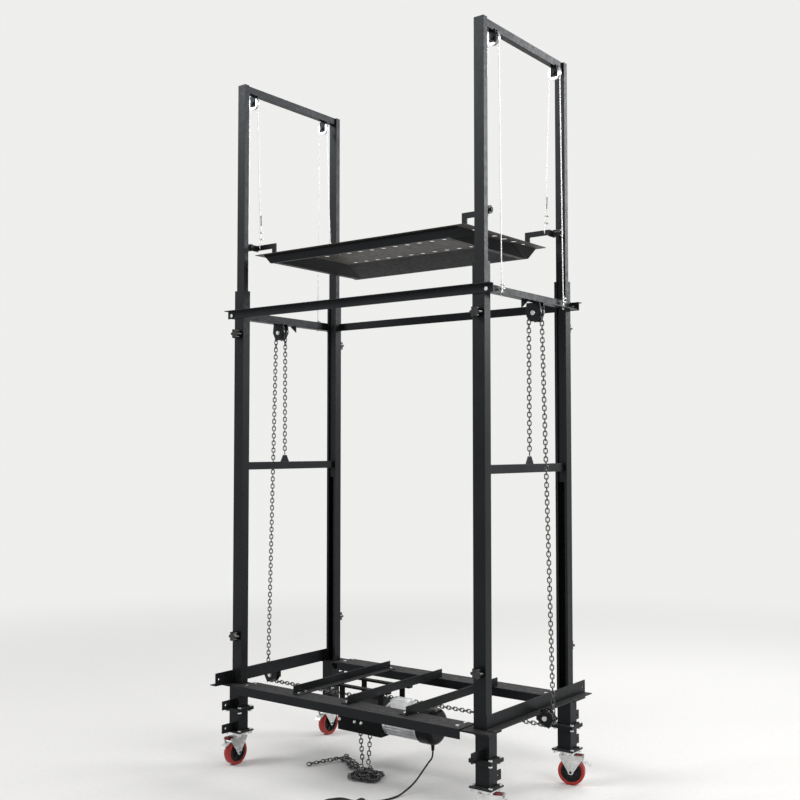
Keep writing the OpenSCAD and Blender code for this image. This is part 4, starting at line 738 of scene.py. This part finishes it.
def rope_along(line, lean):
    """A rope on a line: a six-lobed section, full at each strand and pulled in between, that turns once a lay."""
    run = np.concatenate([[0], np.cumsum(np.linalg.norm(np.diff(line, axis=0), axis=1))])
    a = round_angles(3 * rope_strands)
    r = rope_radius * (1 - strand_pull + strand_pull * np.abs(np.cos(rope_strands / 2 * a)))
    turn = a[None] + 2 * math.pi * run[:, None] / rope_lay
    return carry(line, r[None, :, None] * np.stack([np.cos(turn), np.sin(turn)], -1), lean)


def straight(a, b, step):
    """Evenly spaced points from one place to another."""
    a, b = np.asarray(a, float), np.asarray(b, float)
    return a + np.linspace(0, 1, max(2, int(np.linalg.norm(b - a) / step) + 1))[:, None] * (b - a)


rope_sides = [(x, y) for x in (-1, 1) for y in (-1, 1)]
outer_grids, inner_grids, wrap_grids = [], [], []
wrap_angle = np.linspace(0, math.pi, 40)
for sx, sy in rope_sides:
    for grids, foot, way in ((outer_grids, outer_foot, 1), (inner_grids, inner_foot, -1)):
        low = (sx * foot[0], sy * rope_y, foot[1])
        high = (sx * (sheave_mid + way * sheave_turn), sy * rope_y, sheave_up)
        grids.append((rope_along(straight(low, high, rope_step), rope_lean), False))
    wrap_line = np.stack([sx * (sheave_mid + sheave_turn * np.cos(wrap_angle)), 0 * wrap_angle + sy * rope_y,
                          sheave_up + sheave_turn * np.sin(wrap_angle)], -1)
    wrap_grids.append((rope_along(wrap_line, rope_lean), False))
outer_ropes = skin("mast_rope_strands", outer_grids, rope_finish, None)
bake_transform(outer_ropes)
skin("sheave_rope_wraps", wrap_grids, rope_finish, "masts")
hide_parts("anchor_ropes")
inner_ropes = skin("platform_rope_strands", inner_grids, rope_finish, None)
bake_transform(inner_ropes)
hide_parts("platform_ropes")

# Rope eyes and tails: each inner rope goes through a hole in its bracket bar and back up beside itself, with its
# end bound in black tape. Each outer rope is turned back in the same way through the leg of the side rail.
eye_knots = np.array([
    [0.0, 2614], [-1.5, 2606], [-4.5, 2595], [-6.4, 2586], [-6.6, 2577], [-4.6, 2571.6], [0.0, 2570.6],
    [4.6, 2571.6], [6.6, 2577], [6.4, 2586], [6.0, 2595], [5.5, 2606], [5.2, 2620], [5.2, 2650], [5.3, 2690],
    [5.5, 2720], [6.2, 2744]]) / 1000
foot_knots = np.array([
    [0.0, 2233], [-2.0, 2227], [-5.0, 2220], [-6.0, 2213], [-4.5, 2207], [0.0, 2205], [4.5, 2207], [6.0, 2213],
    [5.6, 2222], [5.2, 2234], [5.2, 2250], [5.4, 2268]]) / 1000
eye_x, eye_z, eye_slope = 0.672, 2.588, 0.0377
foot_x, foot_z, foot_slope = 0.765, 2.215, -0.009
tape_radius, tape_swell, tape_waves = 0.0037, 0.08, 22


def beside_eye(z):
    """How far out the inner rope is at a height: a straight line through the eye."""
    return eye_x + (z - eye_z) * eye_slope


def beside_foot(z):
    """How far out the outer rope is at a height: a straight line through its foot."""
    return foot_x + (z - foot_z) * foot_slope


eye_grids, foot_grids, tape_grids = [], [], []
for sx, sy in rope_sides:
    for grids, flat, out in ((eye_grids, eye_knots, beside_eye), (foot_grids, foot_knots, beside_foot)):
        knots = np.stack([sx * out(flat[:, 1]), sy * rope_y + flat[:, 0], flat[:, 1]], -1)
        grids.append((rope_along(smooth_through(knots, 7), eye_lean), False))
        if grids is eye_grids:
            tape_line = smooth_through(knots[-3:], 10)
            tape_wave = 1 + tape_swell * np.sin(tape_waves * np.linspace(0, 1, len(tape_line)))[:, None, None]
            tape_grids.append((carry(tape_line, circle(tape_radius, 12)[None] * tape_wave, eye_lean), False))
skin("rope_eyes", eye_grids, rope_finish, "platform")
skin("rope_feet", foot_grids, rope_finish, "frame")
skin("rope_end_tapes", tape_grids, nylon, "platform")

# Rope clips: a forged saddle and a U bolt with two nuts, zinc plated.
# Two clips hold the tail of every rope end against its rope.
clip_half, clip_leg, clip_wire, clip_step, clip_set = 0.0050, 0.0165, 0.0016, 0.003, -0.0003
saddle_half_long, saddle_half_wide, nut_radius = 0.0088, 0.0046, 0.0036
eye_clip_z, foot_clip_z = (2.622, 2.656), (2.2385, 2.2560)
clip_bend = np.linspace(math.pi, 2 * math.pi, 13)
clip_line = np.vstack([straight((-clip_half, clip_leg, 0.0), (-clip_half, 0.0, 0.0), clip_step)[:-1],
                       clip_half * np.stack([np.cos(clip_bend), np.sin(clip_bend), 0 * clip_bend], -1),
                       straight((clip_half, 0.0, 0.0), (clip_half, clip_leg, 0.0), clip_step)[1:]])
clip_bolt = carry(clip_line, circle(clip_wire, 8), (0.0, 0.0, 1.0))
saddle_ring = rounded_loop(saddle_half_long, saddle_half_wide, 20, 4.0)
saddle_along = np.array([0.0078, 0.0084, 0.0122, 0.0130])[:, None]
saddle_size = np.array([0.90, 1.0, 1.0, 0.88])[:, None]
clip_saddle = np.stack([saddle_size * saddle_ring[:, 0], saddle_along + 0 * saddle_ring[:, 0],
                        saddle_size * saddle_ring[:, 1]], -1)
nut_ring = circle(nut_radius, 6)
nut_along = np.array([0.0130, 0.0156])[:, None]
clip_nuts = np.stack([np.stack([x + nut_ring[:, 0] + 0 * nut_along, nut_along + 0 * nut_ring[:, 0],
                                nut_ring[:, 1] + 0 * nut_along], -1) for x in (-clip_half, clip_half)])


def clips_at(name, out, heights, body):
    """One piece of like clips, the same bolt, saddle and nuts moved to each height on each rope."""
    spots = np.array([[sx * out(z), sy * rope_y + clip_set, z] for sx, sy in rope_sides for z in heights])
    nuts = (clip_nuts + spots[:, None, None, None]).reshape(-1, *clip_nuts.shape[1:])
    skin(name, [(clip_bolt + spots[:, None, None], False), (clip_saddle + spots[:, None, None], False),
                (nuts, False)], zinc, body)


clips_at("eye_clips", beside_eye, eye_clip_z, "platform")
clips_at("foot_clips", beside_foot, foot_clip_z, "frame")

# Platform tray: a pressed sheet deck with rows of round holes, and folded trapezoid rims below it.
# Black powder coat in the shaded dull copy, whose weak reflection paints the shade under the tray, and a painted
# reflection of the floor, lighter in patches, on the flat of the deck and none on the rims.
deck_sheen_depth, deck_sheen_edge = 0.0035, 0.001
deck_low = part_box("platform_tray")[1].z - deck_sheen_depth
tray_finish = shaded_dull_paint.copy()
tray_shader = tray_finish.node_tree.nodes["Principled BSDF"]
tray_place = place_of(tray_finish)
tray_high = layer(tray_finish, "SeparateXYZ", Vector=tray_place).outputs["Z"]
# The flat of the deck is lightened in patches towards a warm grey: a painted reflection of the floor.
tray_flat = spread(tray_finish, tray_high, deck_low - deck_sheen_edge, deck_low)
tray_sheen_cloud = noise(tray_finish, tray_place, scale=9.0, detail=7.0, roughness=0.65)
tray_sheen_patches = spread(tray_finish, tray_sheen_cloud, 0.3, 0.7, 0.62, 1.0)
tray_sheen_share = worked(tray_finish, "MULTIPLY", tray_flat, tray_sheen_patches)
tray_base = tray_shader.inputs["Base Color"].links[0].from_socket
tray_tint = mixed(tray_finish, tray_sheen_share, tray_base, (0.062, 0.056, 0.048, 1))
feed(tray_finish, tray_tint, tray_shader.inputs["Base Color"])
dress(tray_finish, "platform_tray")

# Platform brackets: four bent flat bars welded through the deck, which carry the guide rollers.
# Steel under black powder coat.
dress(paint, "platform_brackets")

# Guide rollers: turned black nylon rollers on the bracket pins.
# They run along the inner faces of the masts, with a little play.
dress(nylon, *["guide_roller_" + n for n in corners])

# Clamp knobs: lobed hand knobs moulded in hard black resin with a high gloss.
# Each turns on a screw through a column boss.
resin = clouded("knob_resin", scale=60.0, detail=6.0, dark=(0.0030, 0.0030, 0.0034),
                light=(0.014, 0.0135, 0.013), ends=(0.4, 0.8), gloss=(0.08, 0.20), Specular_IOR_Level=0.55)
dress(resin, *["clamp_knob_%s_%s" % (n, z) for n in corners for z in ("upper", "lower")])
